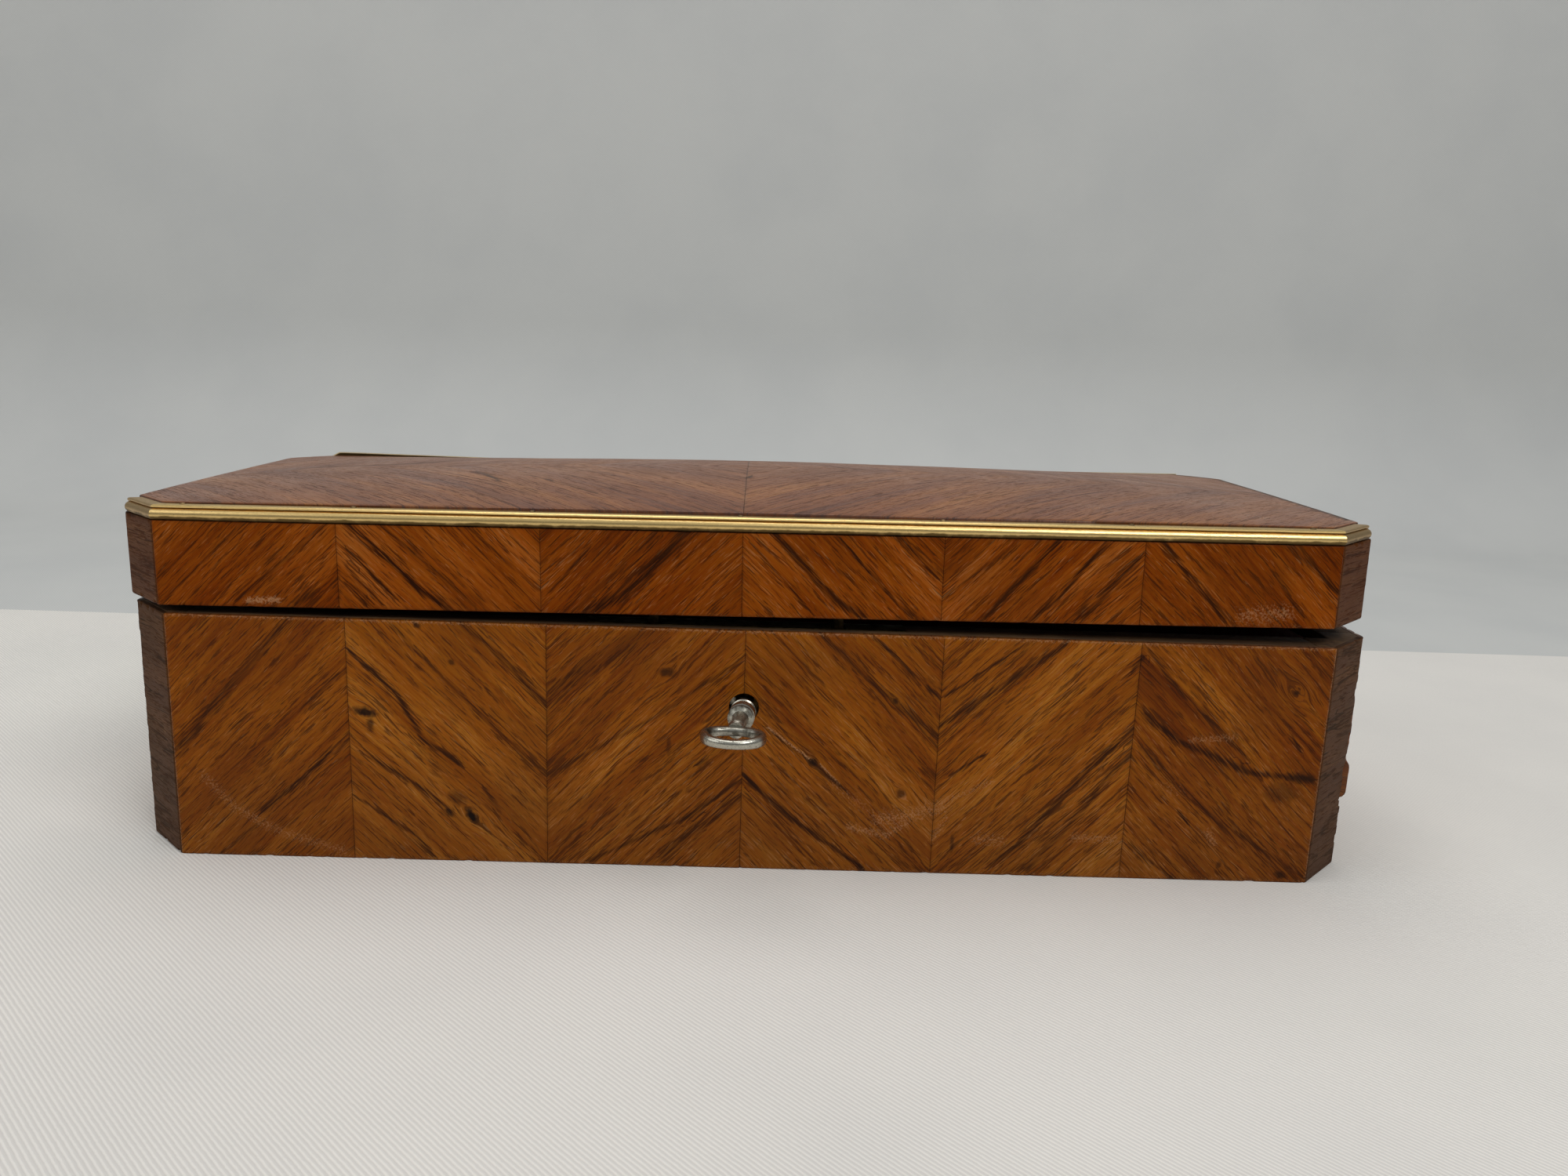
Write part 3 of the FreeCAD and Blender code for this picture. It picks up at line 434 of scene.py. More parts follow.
def lathe(profile: list[Pair], place: Matrix, segments: int = 40) -> tuple[ndarray, list]:
    """Turns a closed profile round the Z axis.

    Args:
        profile: radius and height pairs; the first and last lie on the axis or the profile is a ring.
        place: transform of the finished turning, in millimetres.
        segments: divisions round the axis.

    Returns:
        Points and faces.
    """
    angles = np.linspace(0.0, 2.0 * math.pi, segments, endpoint=False)
    points = [place @ Vector((r * math.cos(a), r * math.sin(a), h)) for a in angles for r, h in profile]
    return np.array(points), ring_faces(segments, len(profile))


# Geometry node trees


def feed(socket: NodeSocket, value: Feed) -> None:
    """Links a socket to another, or sets its constant.

    Args:
        socket: socket that is fed.
        value: what goes in.
    """
    if isinstance(value, NodeSocket):
        socket.id_data.links.new(value, socket)
    else:
        socket.default_value = value


class NodePlan:
    """A geometry node tree with named inputs, built step by step and then applied to a mesh."""

    def __init__(self, name: str) -> None:
        """Starts a tree with geometry in and out.

        Args:
            name: name of the tree.
        """
        self.tree = bpy.data.node_groups.new(name, "GeometryNodeTree")
        self.keys: dict[str, str] = {}
        self.tree.interface.new_socket("Geometry", in_out="INPUT", socket_type="NodeSocketGeometry")
        self.tree.interface.new_socket("Geometry", in_out="OUTPUT", socket_type="NodeSocketGeometry")
        self.start = self.tree.nodes.new("NodeGroupInput")
        self.end = self.tree.nodes.new("NodeGroupOutput")

    def named_input(self, name: str, kind: str) -> NodeSocket:
        """Adds an input of the tree.

        Args:
            name: what the input sets.
            kind: ending of the socket type, such as Float.

        Returns:
            The socket that carries it inside the tree.
        """
        made = self.tree.interface.new_socket(name, in_out="INPUT", socket_type="NodeSocket" + kind)
        self.keys[name] = made.identifier
        return self.start.outputs[name]

    def add(self, kind: str, settings: dict | None = None, **inputs: Feed) -> bpy.types.bpy_prop_collection:
        """Adds a node and feeds its inputs.

        Args:
            kind: type of the node.
            settings: properties of the node.
            inputs: values or sockets by input name, with _ for a space.

        Returns:
            The node's outputs.
        """
        node = self.tree.nodes.new(kind)
        for key, value in (settings or {}).items():
            setattr(node, key, value)
        for key, value in inputs.items():
            feed(next(s for s in node.inputs if s.name == key.replace("_", " ") and s.enabled), value)
        return node.outputs

    def math(self, operation: str, *values: Feed, kind: str = "Math") -> NodeSocket:
        """One step of arithmetic on numbers or on vectors.

        Args:
            operation: what is done.
            values: what it is done with.
            kind: Math for numbers, VectorMath for vectors.

        Returns:
            The result.
        """
        node = self.tree.nodes.new("ShaderNode" + kind)
        node.operation = operation
        for socket, value in zip(node.inputs, values):
            feed(socket, value)
        return node.outputs[0]

    def close(self, geometry: NodeSocket) -> None:
        """Ends the tree with real geometry and its finish."""
        real = self.add("GeometryNodeRealizeInstances", Geometry=geometry)
        finish = self.named_input("Finish", "Material")
        feed(self.end.inputs[0], self.add("GeometryNodeSetMaterial", Geometry=real[0], Material=finish)[0])

    def apply(self, name: str, host: Mesh, values: dict) -> Mesh:
        """Runs the tree on a mesh.

        Args:
            name: name of the result.
            host: geometry that goes in.
            values: value of each named input.

        Returns:
            The plain mesh that comes out.
        """
        carrier = link(name + "_carrier", host)
        change = carrier.modifiers.new("plan", "NODES")
        change.node_group = self.tree
        for key, value in values.items():
            change[self.keys[key]] = value
        mesh = settled_mesh(carrier)
        mesh.name = name
        return mesh


def point_cloud(places: list[tuple[Vector, Vector]]) -> Mesh:
    """Loose points, in millimetres, that carry the direction each repeated part faces.

    Args:
        places: place and direction pairs.

    Returns:
        A mesh without faces.
    """
    mesh = raw_mesh("places", np.array([tuple(place) for place, _ in places]), [])
    keep(mesh, "facing", [tuple(way.normalized()) for _, way in places])
    return mesh


def repeat_plan(name: str, seed: int, wobble: float) -> NodePlan:
    """Tree that sets one part on every point, turned at random about its own axis.

    Args:
        name: name of the tree.
        seed: fixed seed of the random turn.
        wobble: largest turn, in radians.

    Returns:
        The finished tree.
    """
    plan = NodePlan(name)
    part = plan.named_input("Part", "Object")
    shape = plan.add("GeometryNodeObjectInfo", Object=part)
    facing = plan.add("GeometryNodeInputNamedAttribute", {"data_type": "FLOAT_VECTOR"}, Name="facing")
    stand = plan.add("FunctionNodeAlignRotationToVector", {"axis": "Z"}, Vector=facing[0])
    turn = plan.add("FunctionNodeRandomValue", {"data_type": "FLOAT"}, Min=-wobble, Max=wobble, Seed=seed)
    spin = plan.add("FunctionNodeAxisAngleToRotation", Axis=(0.0, 0.0, 1.0), Angle=turn[1])
    pose = plan.add("FunctionNodeRotateRotation", {"rotation_space": "LOCAL"}, Rotation=stand[0],
                    Rotate_By=spin[0])
    spread = plan.add("GeometryNodeInstanceOnPoints", Points=plan.start.outputs[0],
                      Instance=shape["Geometry"], Rotation=pose[0])
    plan.close(spread[0])
    return plan


# Shading


class Shade:
    """A material in the making, with short calls for the nodes that it is made of."""

    def __init__(self, name: str) -> None:
        """Starts a material with its principled shader."""
        self.material = bpy.data.materials.new(name)
        self.material.use_nodes = True
        self.tree = self.material.node_tree
        self.skin = self.tree.nodes["Principled BSDF"]

    def node(self, kind: str, settings: dict | None = None, inputs: dict | None = None) -> Node:
        """Adds a node.

        Args:
            kind: ending of the node type.
            settings: properties of the node.
            inputs: values or sockets by input number or name.

        Returns:
            The node.
        """
        made = self.tree.nodes.new("ShaderNode" + kind)
        for key, value in (settings or {}).items():
            setattr(made, key, value)
        for key, value in (inputs or {}).items():
            feed(made.inputs[key], value)
        return made

    def math(self, operation: str, first: Feed, second: Feed = 0.0, third: Feed = 0.0) -> NodeSocket:
        """One step of arithmetic on numbers."""
        return self.node("Math", {"operation": operation}, {0: first, 1: second, 2: third}).outputs[0]

    plus = partialmethod(math, "ADD")
    minus = partialmethod(math, "SUBTRACT")
    times = partialmethod(math, "MULTIPLY")
    over = partialmethod(math, "DIVIDE")
    most = partialmethod(math, "MAXIMUM")
    scaled = partialmethod(math, "MULTIPLY_ADD")

    def vector(self, operation: str, first: Feed, second: Feed = (0.0, 0.0, 0.0)) -> NodeSocket:
        """One step of arithmetic on vectors."""
        return self.node("VectorMath", {"operation": operation}, {0: first, 1: second}).outputs[0]

    def place_mm(self) -> NodeSocket:
        """Object coordinates in millimetres."""
        spot = self.node("TexCoord").outputs["Object"]
        return self.vector("MULTIPLY", spot, (1000.0, 1000.0, 1000.0))

    def attribute(self, name: str) -> Node:
        """Reads a value stored on the piece's points."""
        return self.node("Attribute", {"attribute_name": name})

    def split(self, vector: NodeSocket) -> list[NodeSocket]:
        """The three parts of a vector."""
        return list(self.node("SeparateXYZ", None, {0: vector}).outputs)

    def join(self, x: Feed, y: Feed, z: Feed) -> NodeSocket:
        """A vector from three numbers."""
        return self.node("CombineXYZ", None, {0: x, 1: y, 2: z}).outputs[0]

    def noise(self, vector: Feed, scale: float = 1.0, detail: float = 2.0, rough: float = 0.5) -> NodeSocket:
        """Cloudy pattern from 0 to 1.

        Args:
            vector: where it is read.
            scale: how often it repeats in one unit.
            detail: number of finer layers.
            rough: strength of the finer layers.

        Returns:
            The pattern's value.
        """
        return self.node("TexNoise", None, {"Vector": vector, "Scale": scale, "Detail": detail,
                                            "Roughness": rough}).outputs["Fac"]

    def ribs(self, vector: Feed, scale: float) -> NodeSocket:
        """Slanting ribs of a woven cloth, from 0 to 1."""
        return self.node("TexWave", {"wave_type": "BANDS", "bands_direction": "DIAGONAL"},
                         {"Vector": vector, "Scale": scale, "Distortion": 0.6, "Detail": 1.0}).outputs["Fac"]

    def band(self, value: Feed, low: float, high: float, out_low: float = 0.0,
             out_high: float = 1.0) -> NodeSocket:
        """Eased step of a value between two limits."""
        return self.node("MapRange", {"interpolation_type": "SMOOTHSTEP"},
                         {0: value, 1: low, 2: high, 3: out_low, 4: out_high}).outputs[0]

    def ramp(self, value: Feed, stops: list[tuple[float, Tint]]) -> NodeSocket:
        """Colour that changes with a value.

        Args:
            value: place along the ramp.
            stops: place and colour pairs.

        Returns:
            The colour.
        """
        made = self.node("ValToRGB", None, {0: value})
        line = made.color_ramp.elements
        while len(line) < len(stops):
            line.new(0.5)
        for element, (place, colour) in zip(line, stops):
            element.position, element.color = place, linear(*colour)
        return made.outputs[0]

    def mix(self, share: Feed, first: Feed, second: Feed, way: str = "MIX") -> NodeSocket:
        """Blend of two colours, each a socket or a given colour, 0 to 255."""
        first, second = (linear(*part) if isinstance(part, tuple) else part for part in (first, second))
        return self.node("Mix", {"data_type": "RGBA", "blend_type": way, "clamp_factor": True},
                         {0: share, 6: first, 7: second}).outputs[2]

    def finish(self, colour: Feed, roughness: Feed, height: Feed, depth: float, strength: float = 1.0,
               **constants: float) -> Material:
        """Feeds the principled shader and gives the material.

        Args:
            colour: base colour.
            roughness: roughness of the surface.
            height: relief from 0 to 1.
            depth: depth of the relief in millimetres.
            strength: strength of the bump.
            constants: other inputs of the shader, with _ for a space.

        Returns:
            The finished material.
        """
        bump = self.node("Bump", None, {"Strength": strength, "Distance": depth * MM, "Height": height})
        inputs = {"Base_Color": colour, "Roughness": roughness, "Normal": bump.outputs[0], **constants}
        for key, value in inputs.items():
            feed(self.skin.inputs[key.replace("_", " ")], value)
        return self.material


@dataclass(frozen=True)
class Marks:
    """Veins, knots and scuffs read off the old wood, as places on the front in millimetres."""

    veins: tuple = ()
    spots: tuple = ()
    scuffs: tuple = ()
    knots: tuple = ()

    @staticmethod
    def nearest(x: ndarray, z: ndarray, line: tuple) -> ndarray:
        """Signed distance of each place from a bent line.

        Args:
            x: places along.
            z: heights.
            line: points of the line, one number after the other.

        Returns:
            Distance, negative on the right-hand side of the line.
        """
        best = np.full(x.shape, 1e9)
        for x_0, z_0, x_1, z_1 in zip(line[::2], line[1::2], line[2::2], line[3::2]):
            run, rise = x_1 - x_0, z_1 - z_0
            share = np.clip(((x - x_0) * run + (z - z_0) * rise) / (run * run + rise * rise), 0.0, 1.0)
            away = np.hypot(x - x_0 - share * run, z - z_0 - share * rise)
            signed = np.copysign(away, run * (z - z_0) - rise * (x - x_0))
            best = np.where(away < np.abs(best), signed, best)
        return best

    def vein_field(self, x: ndarray, z: ndarray, span: Pair) -> ndarray:
        """Finds the vein that shows most at each place.

        Args:
            x: places along.
            z: heights.
            span: limits of the leaf along the side.

        Returns:
            Distance, strength and width of the vein for each place.
        """
        result = np.tile((9.0, 0.0, 1.0), (len(x), 1))
        weight = np.full(len(x), 1e-4)
        for width, strength, *line in self.veins:
            if span[0] - 2.0 < sum(line[::2]) / len(line[::2]) < span[1] + 2.0:
                away = self.nearest(x, z, line)
                pull = strength * bell(np.abs(away), width + 0.6)
                chosen = pull > weight
                fade = 1.0 - smooth_band(np.abs(away), width * 1.4 + 0.5, width * 1.8 + 1.2)
                result[chosen] = rows(away, strength * fade, width)[chosen]
                weight = np.where(chosen, pull, weight)
        return result

    def scuff_field(self, x: ndarray, z: ndarray) -> ndarray:
        """How much the polish is rubbed away at each place, from 0 to 1.

        Args:
            x: places along.
            z: heights.

        Returns:
            The share of each place.
        """
        result = np.zeros(len(x))
        for width, strength, *line in self.scuffs:
            result = np.maximum(result, strength * bell(self.nearest(x, z, line), width))
        return result


# A vein or scuff is its width, its strength and the x, z of each of its points. A spot is its place, its two
# reaches, its lean and its strength. A knot is its place and its radius.
FRONT_MARKS = Marks(
    veins=(
        (1, 0.6, -108.4, 59.6, -122.6, 44, -135.4, 28.1), (0.5, 0.45, -113.8, 52.3, -136.6, 24.9),
        (0.4, 0.6, -118.5, 36.2, -123.5, 32.2), (0.7, 0.85, -100.7, 26.8, -106.4, 20.9, -117.5, 11.5),
        (0.5, 0.4, -94.3, 49.3, -115.4, 29.5), (0.5, 0.5, -127.8, 0.2, -118.8, 8.2),
        (0.5, 0.5, -95.1, 31.1, -102.5, 23.9),
        (0.6, 0.8, -94.8, 52.3, -84.2, 42.1, -78.6, 31.2, -69.8, 25.1),
        (0.5, 0.55, -84.7, 58.5, -62.6, 35.4, -49.1, 23.1), (1, 0.6, -69, 60.3, -57.5, 49.7, -49, 40.7),
        (0.5, 0.7, -92.3, 27, -77.9, 17.9, -72, 12.8), (0.4, 0.7, -95.2, 16.2, -80.5, 6.1, -76.5, 1.1),
        (0.5, 0.6, -64, 18.9, -60.5, 13.2), (2.6, 0.4, -24.5, 60.2, -48.4, 43.2),
        (0.6, 0.5, -3.8, 52.6, -22.6, 38.5, -49.1, 22.7), (0.6, 0.7, -2.5, 22.7, -15.3, 13.1, -39.2, 0.9),
        (1.3, 0.5, -2.9, 18.1, -20.9, 3.5), (0.4, 0.8, -10.7, 28.3, -13.1, 26.4),
        (1, 0.6, 15.5, 59.5, 29, 47.3, 44.5, 34.9), (0.5, 0.9, 27.7, 59.4, 44.6, 44.5),
        (0.4, 0.7, 3.4, 36.2, 14.3, 28, 24.7, 19.6),
        (0.7, 0.95, -1.8, 24.1, 9.7, 13.8, 21.5, 5.3, 27.5, 0.8), (0.4, 0.5, -1.1, 19.5, 12.6, 5.1),
        (0.9, 0.75, 73.3, 59.2, 58.9, 48.4, 44.9, 38.2), (0.3, 0.8, 64, 59, 45.1, 45.3),
        (0.8, 0.8, 92.5, 39.7, 81.4, 28.7, 65.4, 7.9, 58.8, 2.6),
        (1.1, 0.55, 91.7, 34, 78.5, 15, 67.9, 2.1), (0.35, 0.8, 55.5, 30.8, 47.7, 25.6),
        (0.5, 0.7, 91.6, 56.4, 89.3, 52.8), (0.6, 0.6, 92.7, 58.4, 99.5, 50.4, 107, 43.6, 119.1, 31.9),
        (0.9, 0.85, 93.5, 42.4, 102.3, 35.8, 120.2, 28.4, 135.4, 27.1),
        (0.6, 0.5, 93.1, 34, 113.5, 16, 136.5, 1.8), (0.35, 0.9, 104.3, 17.8, 106.7, 15),
        (0.4, 0.7, 129.1, 38.6, 131.8, 34.5), (0.5, 0.5, 92.9, 8.7, 104.8, 0.2),
    ),
    spots=(
        (-91.7, 37.4, 2.6, 1, -10, 0.95), (-90.7, 34.3, 0.8, 1.4, 0, 0.7),
        (-70.6, 16.3, 2, 1.5, -30, 0.55), (-67.3, 12, 2.2, 0.9, -55, 1), (-72.6, 12.6, 1.1, 0.6, -50, 0.8),
        (-79, 59, 0.9, 0.6, -45, 0.8), (-71.1, 50.2, 0.8, 0.6, -45, 0.7), (-20.7, 49.3, 1.6, 0.9, 0, 0.8),
        (-20, 30.9, 0.5, 2, 0, 0.5), (14.7, 28, 1, 1, 0, 0.8), (36.2, 20.6, 1.1, 1.1, 0, 0.7),
        (33.6, 43.9, 0.7, 0.7, 0, 0.7), (49.4, 8.2, 0.45, 2.2, 0, 0.6), (128.9, 23.6, 3.6, 2.4, 0, 0.5),
        (132.7, 27.3, 3, 1.4, 0, 0.6), (129.2, 48.8, 0.7, 0.5, 0, 0.8), (131, 2, 1.3, 0.8, -20, 0.8),
        (115.4, 4.2, 0.6, 0.8, 0, 0.6),
    ),
    scuffs=(
        (1.9, 0.5, -130.8, 20.1, -123.8, 12.3, -112.9, 6.2, -98.1, 1.9),
        (0.4, 0.95, 3.4, 36.6, 9, 32.4, 14.2, 28.6), (0.35, 0.9, 16.5, 27.4, 21, 22.6),
        (3.2, 0.56, 31.1, 13.8, 38.6, 15, 46.1, 17.3), (1.5, 0.6, 24, 11.6, 33, 9.6, 38, 13.4),
        (1.4, 0.5, 44.6, 8.8, 47.4, 14.6), (1.2, 0.5, 47.5, 19, 58, 24.4),
        (1.8, 0.56, 79.2, 10.5, 88.9, 10.2), (2.4, 0.52, 55.3, 9.4, 61, 9.1),
        (1.3, 0.56, 105.3, 36.3, 115.7, 37.2), (1.5, 0.58, 111.7, 12.7, 113.6, 10),
        (2, 0.38, 19.2, 22.6, 33, 12.8), (2.6, 0.36, 98.9, 24.9, 102.9, 23),
        (0.4, 0.65, -143, 59.7, 137, 59.7), (0.5, 0.55, -137.4, 0, -137.4, 60),
        (0.5, 0.65, 137.4, 0, 137.4, 60), (0.9, 0.4, -137, 0.4, 137, 0.4),
    ),
    knots=(
        (-91.7, 37.4, 2.4), (-67.3, 12, 2.6), (-20.7, 49.3, 1.8), (14.7, 28, 1.6), (36.2, 20.6, 1.8),
        (129.2, 49.2, 3.2), (33.6, 43.9, 1.2),
    ),
)
LID_MARKS = Marks(
    veins=(
        (0.5, 0.45, -117.4, 82.1, -136.8, 63.4), (0.6, 0.5, -100, 81.4, -120.4, 63.4),
        (1.2, 0.6, -103.2, 66.5, -106.6, 63.1), (0.8, 0.95, -94.3, 82.8, -78.6, 67.9, -71.7, 62.8),
        (0.35, 0.8, -94.6, 76.4, -83.7, 65.1), (0.35, 0.8, -94.8, 72.5, -86.8, 63.7),
        (0.35, 0.75, -94.9, 68.6, -90.6, 63.6), (0.5, 0.5, -87.4, 83.1, -65.3, 63.8),
        (0.4, 0.5, -68.1, 83.7, -50.6, 68.2), (1.6, 0.85, -16.5, 83, -24, 75, -30.8, 67.7, -39.1, 63.5),
        (0.7, 0.5, -24, 82.1, -42.3, 63.4), (0.4, 0.6, -39.1, 78.4, -48, 67.8),
        (1.2, 0.75, 3.8, 83, 18.4, 67.9, 25, 64.2), (0.4, 0.6, -1.9, 80.9, 12.7, 65.1),
        (0.5, 0.9, 18.3, 82.8, 23.1, 77.8, 33.2, 67.1, 36.5, 64.6), (0.6, 0.7, 32.3, 83.3, 41.7, 74.5),
        (0.7, 0.8, 69.2, 83.2, 59.5, 72, 54, 65.1), (0.6, 0.8, 80.4, 83.5, 70.4, 69.8, 64.1, 64.7),
        (1, 0.75, 88.1, 79.7, 80.4, 70.1, 76.1, 65.8), (0.4, 0.5, 60, 82.9, 43.7, 69.5),
        (0.7, 0.85, 94.3, 84, 100.5, 76.1, 106.5, 70.1, 109.7, 66.1), (0.9, 0.7, 123.5, 84.3, 135.6, 73.8),
        (0.5, 0.5, 120.4, 77.4, 128.4, 67.4),
    ),
    scuffs=(
        (1, 0.85, -117.9, 63.6, -110.6, 64), (3, 0.55, 114.9, 67.2, 124.1, 68.2),
        (0.7, 0.35, -140, 61.4, 137, 64.8),
    ),
)
TOP_MARKS = Marks(
    veins=(
        (0.7, 1, -122.4, 6.4, -104.4, 7.3, -92.5, 13), (0.7, 1, -1.2, -18.5, -1.8, -20.5),
        (0.8, 0.8, -73.9, -13.4, -65.1, -27.5), (0.4, 0.5, -60, -20, -38, -42),
        (0.6, 0.6, 94.3, 27.5, 108.5, 19.1, 115, 9, 141, 4.6),
        (1, 1, 145.6, -43, 145.6, 43, 134, 55.4, 60, 55.4),
    ),
)


def drying_checks(seed: int, low: float, high: float, count: int) -> Marks:
    """Dark cracks along the grain of a cant, at random but the same on every run.

    Args:
        seed: fixed seed.
        low: lower edge of the cant.
        high: upper edge of the cant.
        count: number of cracks.

    Returns:
        The cracks as veins.
    """
    pick = np.random.default_rng(seed)
    lines = []
    for height in pick.uniform(low + 0.8, high - 0.8, count):
        start = pick.uniform(-9.0, 5.0)
        run, drop = pick.uniform(3.0, 12.0), pick.uniform(-0.7, 0.7)
        lines.append((pick.uniform(0.12, 0.45), pick.uniform(0.6, 1.0), start, height, start + run / 2,
                      height + 0.6 * drop, min(9.0, start + run), height + drop))
    return Marks(veins=tuple(lines))


@dataclass(frozen=True)
class Rosewood:
    """Old sawn rosewood under worn shellac."""

    name: str
    fade_and_sheen: float = 0.0
    cracks: float = 0.0
    spots: tuple = ()
    gloss: float = 0.36
    warmth: float = 1.0
    coat: float = 0.02
    gold: float = 1.0
    shine: float = 0.07
    faded: Tint = (118, 92, 74)
    dark: Tint = (58, 27, 8)
    # Colour of the painted glint highlights.
    pale: Tint = (196, 146, 96)
    worn: Tint = (176, 128, 88)
    bared: Tint = (104, 80, 60)

    def material(self) -> Material:
        """Builds the material from the grain, vein and edge values stored on each leaf.

        Returns:
            The material.
        """
        shade = Shade(self.name)
        along, across, layer = shade.split(shade.attribute("grain").outputs["Vector"])

        def streaks(run: float, width: float, detail: float = 1.0, rough: float = 0.5,
                    line: NodeSocket = across) -> NodeSocket:
            """Pattern whose features have one length along the grain and one width across it."""
            spot = shade.join(shade.over(along, run), shade.over(line, width), layer)
            return shade.noise(spot, 1.0, detail, rough)

        line = shade.scaled(shade.minus(streaks(48.0, 20.0), 0.5), 3.0, across)
        line = shade.scaled(shade.minus(streaks(9.0, 3.0), 0.5), 0.5, line)
        broad, bands = streaks(70.0, 9.0, line=line), streaks(36.0, 1.3, 3.0, 0.6, line)
        strings, dashes = streaks(34.0, 1.1, line=line), streaks(6.5, 0.42, 2.0, 0.6, line)
        fibre, pores = streaks(9.0, 0.24, line=line), streaks(3.6, 0.27, line=line)
        clouds = shade.noise(shade.place_mm(), 0.06, 3.0)
        _, _, rise = shade.split(shade.place_mm())

        tone = shade.scaled(broad, 0.36, shade.times(bands, 0.36))
        tone = shade.plus(tone, shade.attribute("leaf").outputs["Fac"])
        warm, green = self.warmth, self.warmth * self.gold
        colour = shade.ramp(tone, [
            (0.23, (96 * warm, 44 * green, 4)),
            (0.31, (126 * warm, 66 * green, 6)),
            (0.36, (138 * warm, 77 * green, 9)),
            (0.42, (152 * warm, 89 * green, 16)),
            (0.50, (170 * warm, 108 * green, 32)),
        ])
        # Browner and darker towards the bottom of the base, from 34 mm down.
        colour = shade.mix(shade.band(rise, 34.0, 4.0, 0.0, 0.4), colour, (112 * warm, 66 * warm, 24))
        colour = shade.mix(shade.band(fibre, 0.3, 0.7, 0.0, 0.42), colour, (166, 112, 62), "OVERLAY")
        crowd = shade.scaled(strings, 0.42, dashes)
        away, strength, width = shade.split(shade.attribute("vein").outputs["Vector"])
        shaken = shade.scaled(shade.minus(streaks(5.0, 0.9, 2.0), 0.5),
                            1.1, away)
        close = shade.over(shade.math("ABSOLUTE", shaken), width)
        crowd = shade.scaled(shade.times(shade.band(close, 3.2, 0.6), strength), 0.12, crowd)
        dash_mask = shade.band(crowd, 0.79, 0.86)
        colour = shade.mix(shade.times(dash_mask, 0.7), colour, self.dark)
        pore_mask = shade.band(shade.scaled(strings, 0.3, pores), 0.74, 0.82)
        colour = shade.mix(shade.times(pore_mask, 0.42), colour, (56, 26, 8))
        # Painted highlight: pale flecks along the pores stand for light glinting off the fibres.
        glint = shade.band(shade.minus(pores, shade.times(broad, 0.3)), 0.19, 0.12)
        colour = shade.mix(shade.times(glint, 0.22), colour, self.pale)
        vein = shade.times(shade.band(close, 1.4, 0.2), strength)
        vein = shade.times(vein, shade.band(dashes, 0.3, 0.55, 0.35, 1.0))
        colour = shade.mix(vein, colour, (36, 16, 7))
        deep = shade.most(shade.most(pore_mask, dash_mask), vein)

        if self.spots:
            knot = self.knot_mask(shade)
            colour = shade.mix(knot, colour, (22, 13, 8))
            deep = shade.most(deep, knot)
        if self.cracks:
            split = shade.math("ABSOLUTE", shade.minus(streaks(30.0, 3.4, 2.0), 0.5))
            reach = shade.band(streaks(14.0, 3.0, 2.0), 0.46, 0.6)
            check = shade.times(shade.band(split, 0.022, 0.006, 0.0, self.cracks), reach)
            colour = shade.mix(check, colour, (30, 20, 14))
            deep = shade.most(deep, check)

        colour = shade.mix(shade.band(clouds, 0.4, 0.75, 0.0, 0.25), colour, (84, 44, 14))
        # Greying towards the faded tint: fading, and on the cants partly a painted grey sheen.
        faded = shade.noise(shade.place_mm(), 0.03, 3.0)
        faded = shade.band(faded, 0.25, 0.75, self.fade_and_sheen * 0.55, self.fade_and_sheen)
        colour = shade.mix(faded, colour, self.faded)
        edge, wear, bare = shade.split(shade.attribute("edge").outputs["Vector"])
        speckle = shade.noise(shade.place_mm(), 2.0, 4.0, 0.7)
        rubbed = shade.times(wear, shade.band(shade.scaled(wear, 0.3, speckle), 0.6, 0.78))
        colour = shade.mix(rubbed, colour, self.worn)
        seam = shade.band(edge, 0.11, 0.03)
        colour = shade.mix(shade.times(seam, 0.45), colour, (26, 14, 8))
        colour = shade.mix(shade.band(edge, 0.9, 0.1, 0.0, 0.15), colour, (48, 28, 16))
        colour = shade.mix(bare, colour, self.bared)

        rough = shade.scaled(clouds, 0.22, self.gloss - 0.11)
        rough = shade.plus(rough, shade.times(rubbed, 0.25))
        rough = shade.plus(rough, shade.times(shade.most(deep, bare), 0.2))
        height = shade.minus(shade.times(fibre, 0.16), deep)
        height = shade.minus(height, shade.times(seam, 0.8))
        height = shade.plus(height, shade.times(clouds, 1.4))
        return shade.finish(colour, rough, height, 0.11, 0.75, Coat_Weight=self.coat, Coat_Roughness=0.24,
                            Specular_IOR_Level=self.shine)

    def knot_mask(self, shade: Shade) -> NodeSocket:
        """Dark knots and smears at their own places on the front.

        Args:
            shade: material in the making.

        Returns:
            Mask from 0 to 1.
        """
        place = shade.place_mm()
        shake = shade.minus(shade.noise(place, 0.9, 3.0), 0.5)
        whole = 0.0
        for x, z, reach, tall, angle, strength in self.spots:
            local = shade.vector("SUBTRACT", place, (x, 0.0, z))
            local = shade.node("VectorRotate", {"rotation_type": "Y_AXIS"},
                               {0: local, "Angle": math.radians(angle)}).outputs[0]
            local = shade.vector("MULTIPLY", local, (1.0 / reach, 0.0, 1.0 / tall))
            size = shade.node("VectorMath", {"operation": "LENGTH"}, {0: local}).outputs["Value"]
            size = shade.scaled(shake, 1.3, size)
            whole = shade.most(whole, shade.band(size, 1.7, 0.45, 0.0, strength))
        return whole


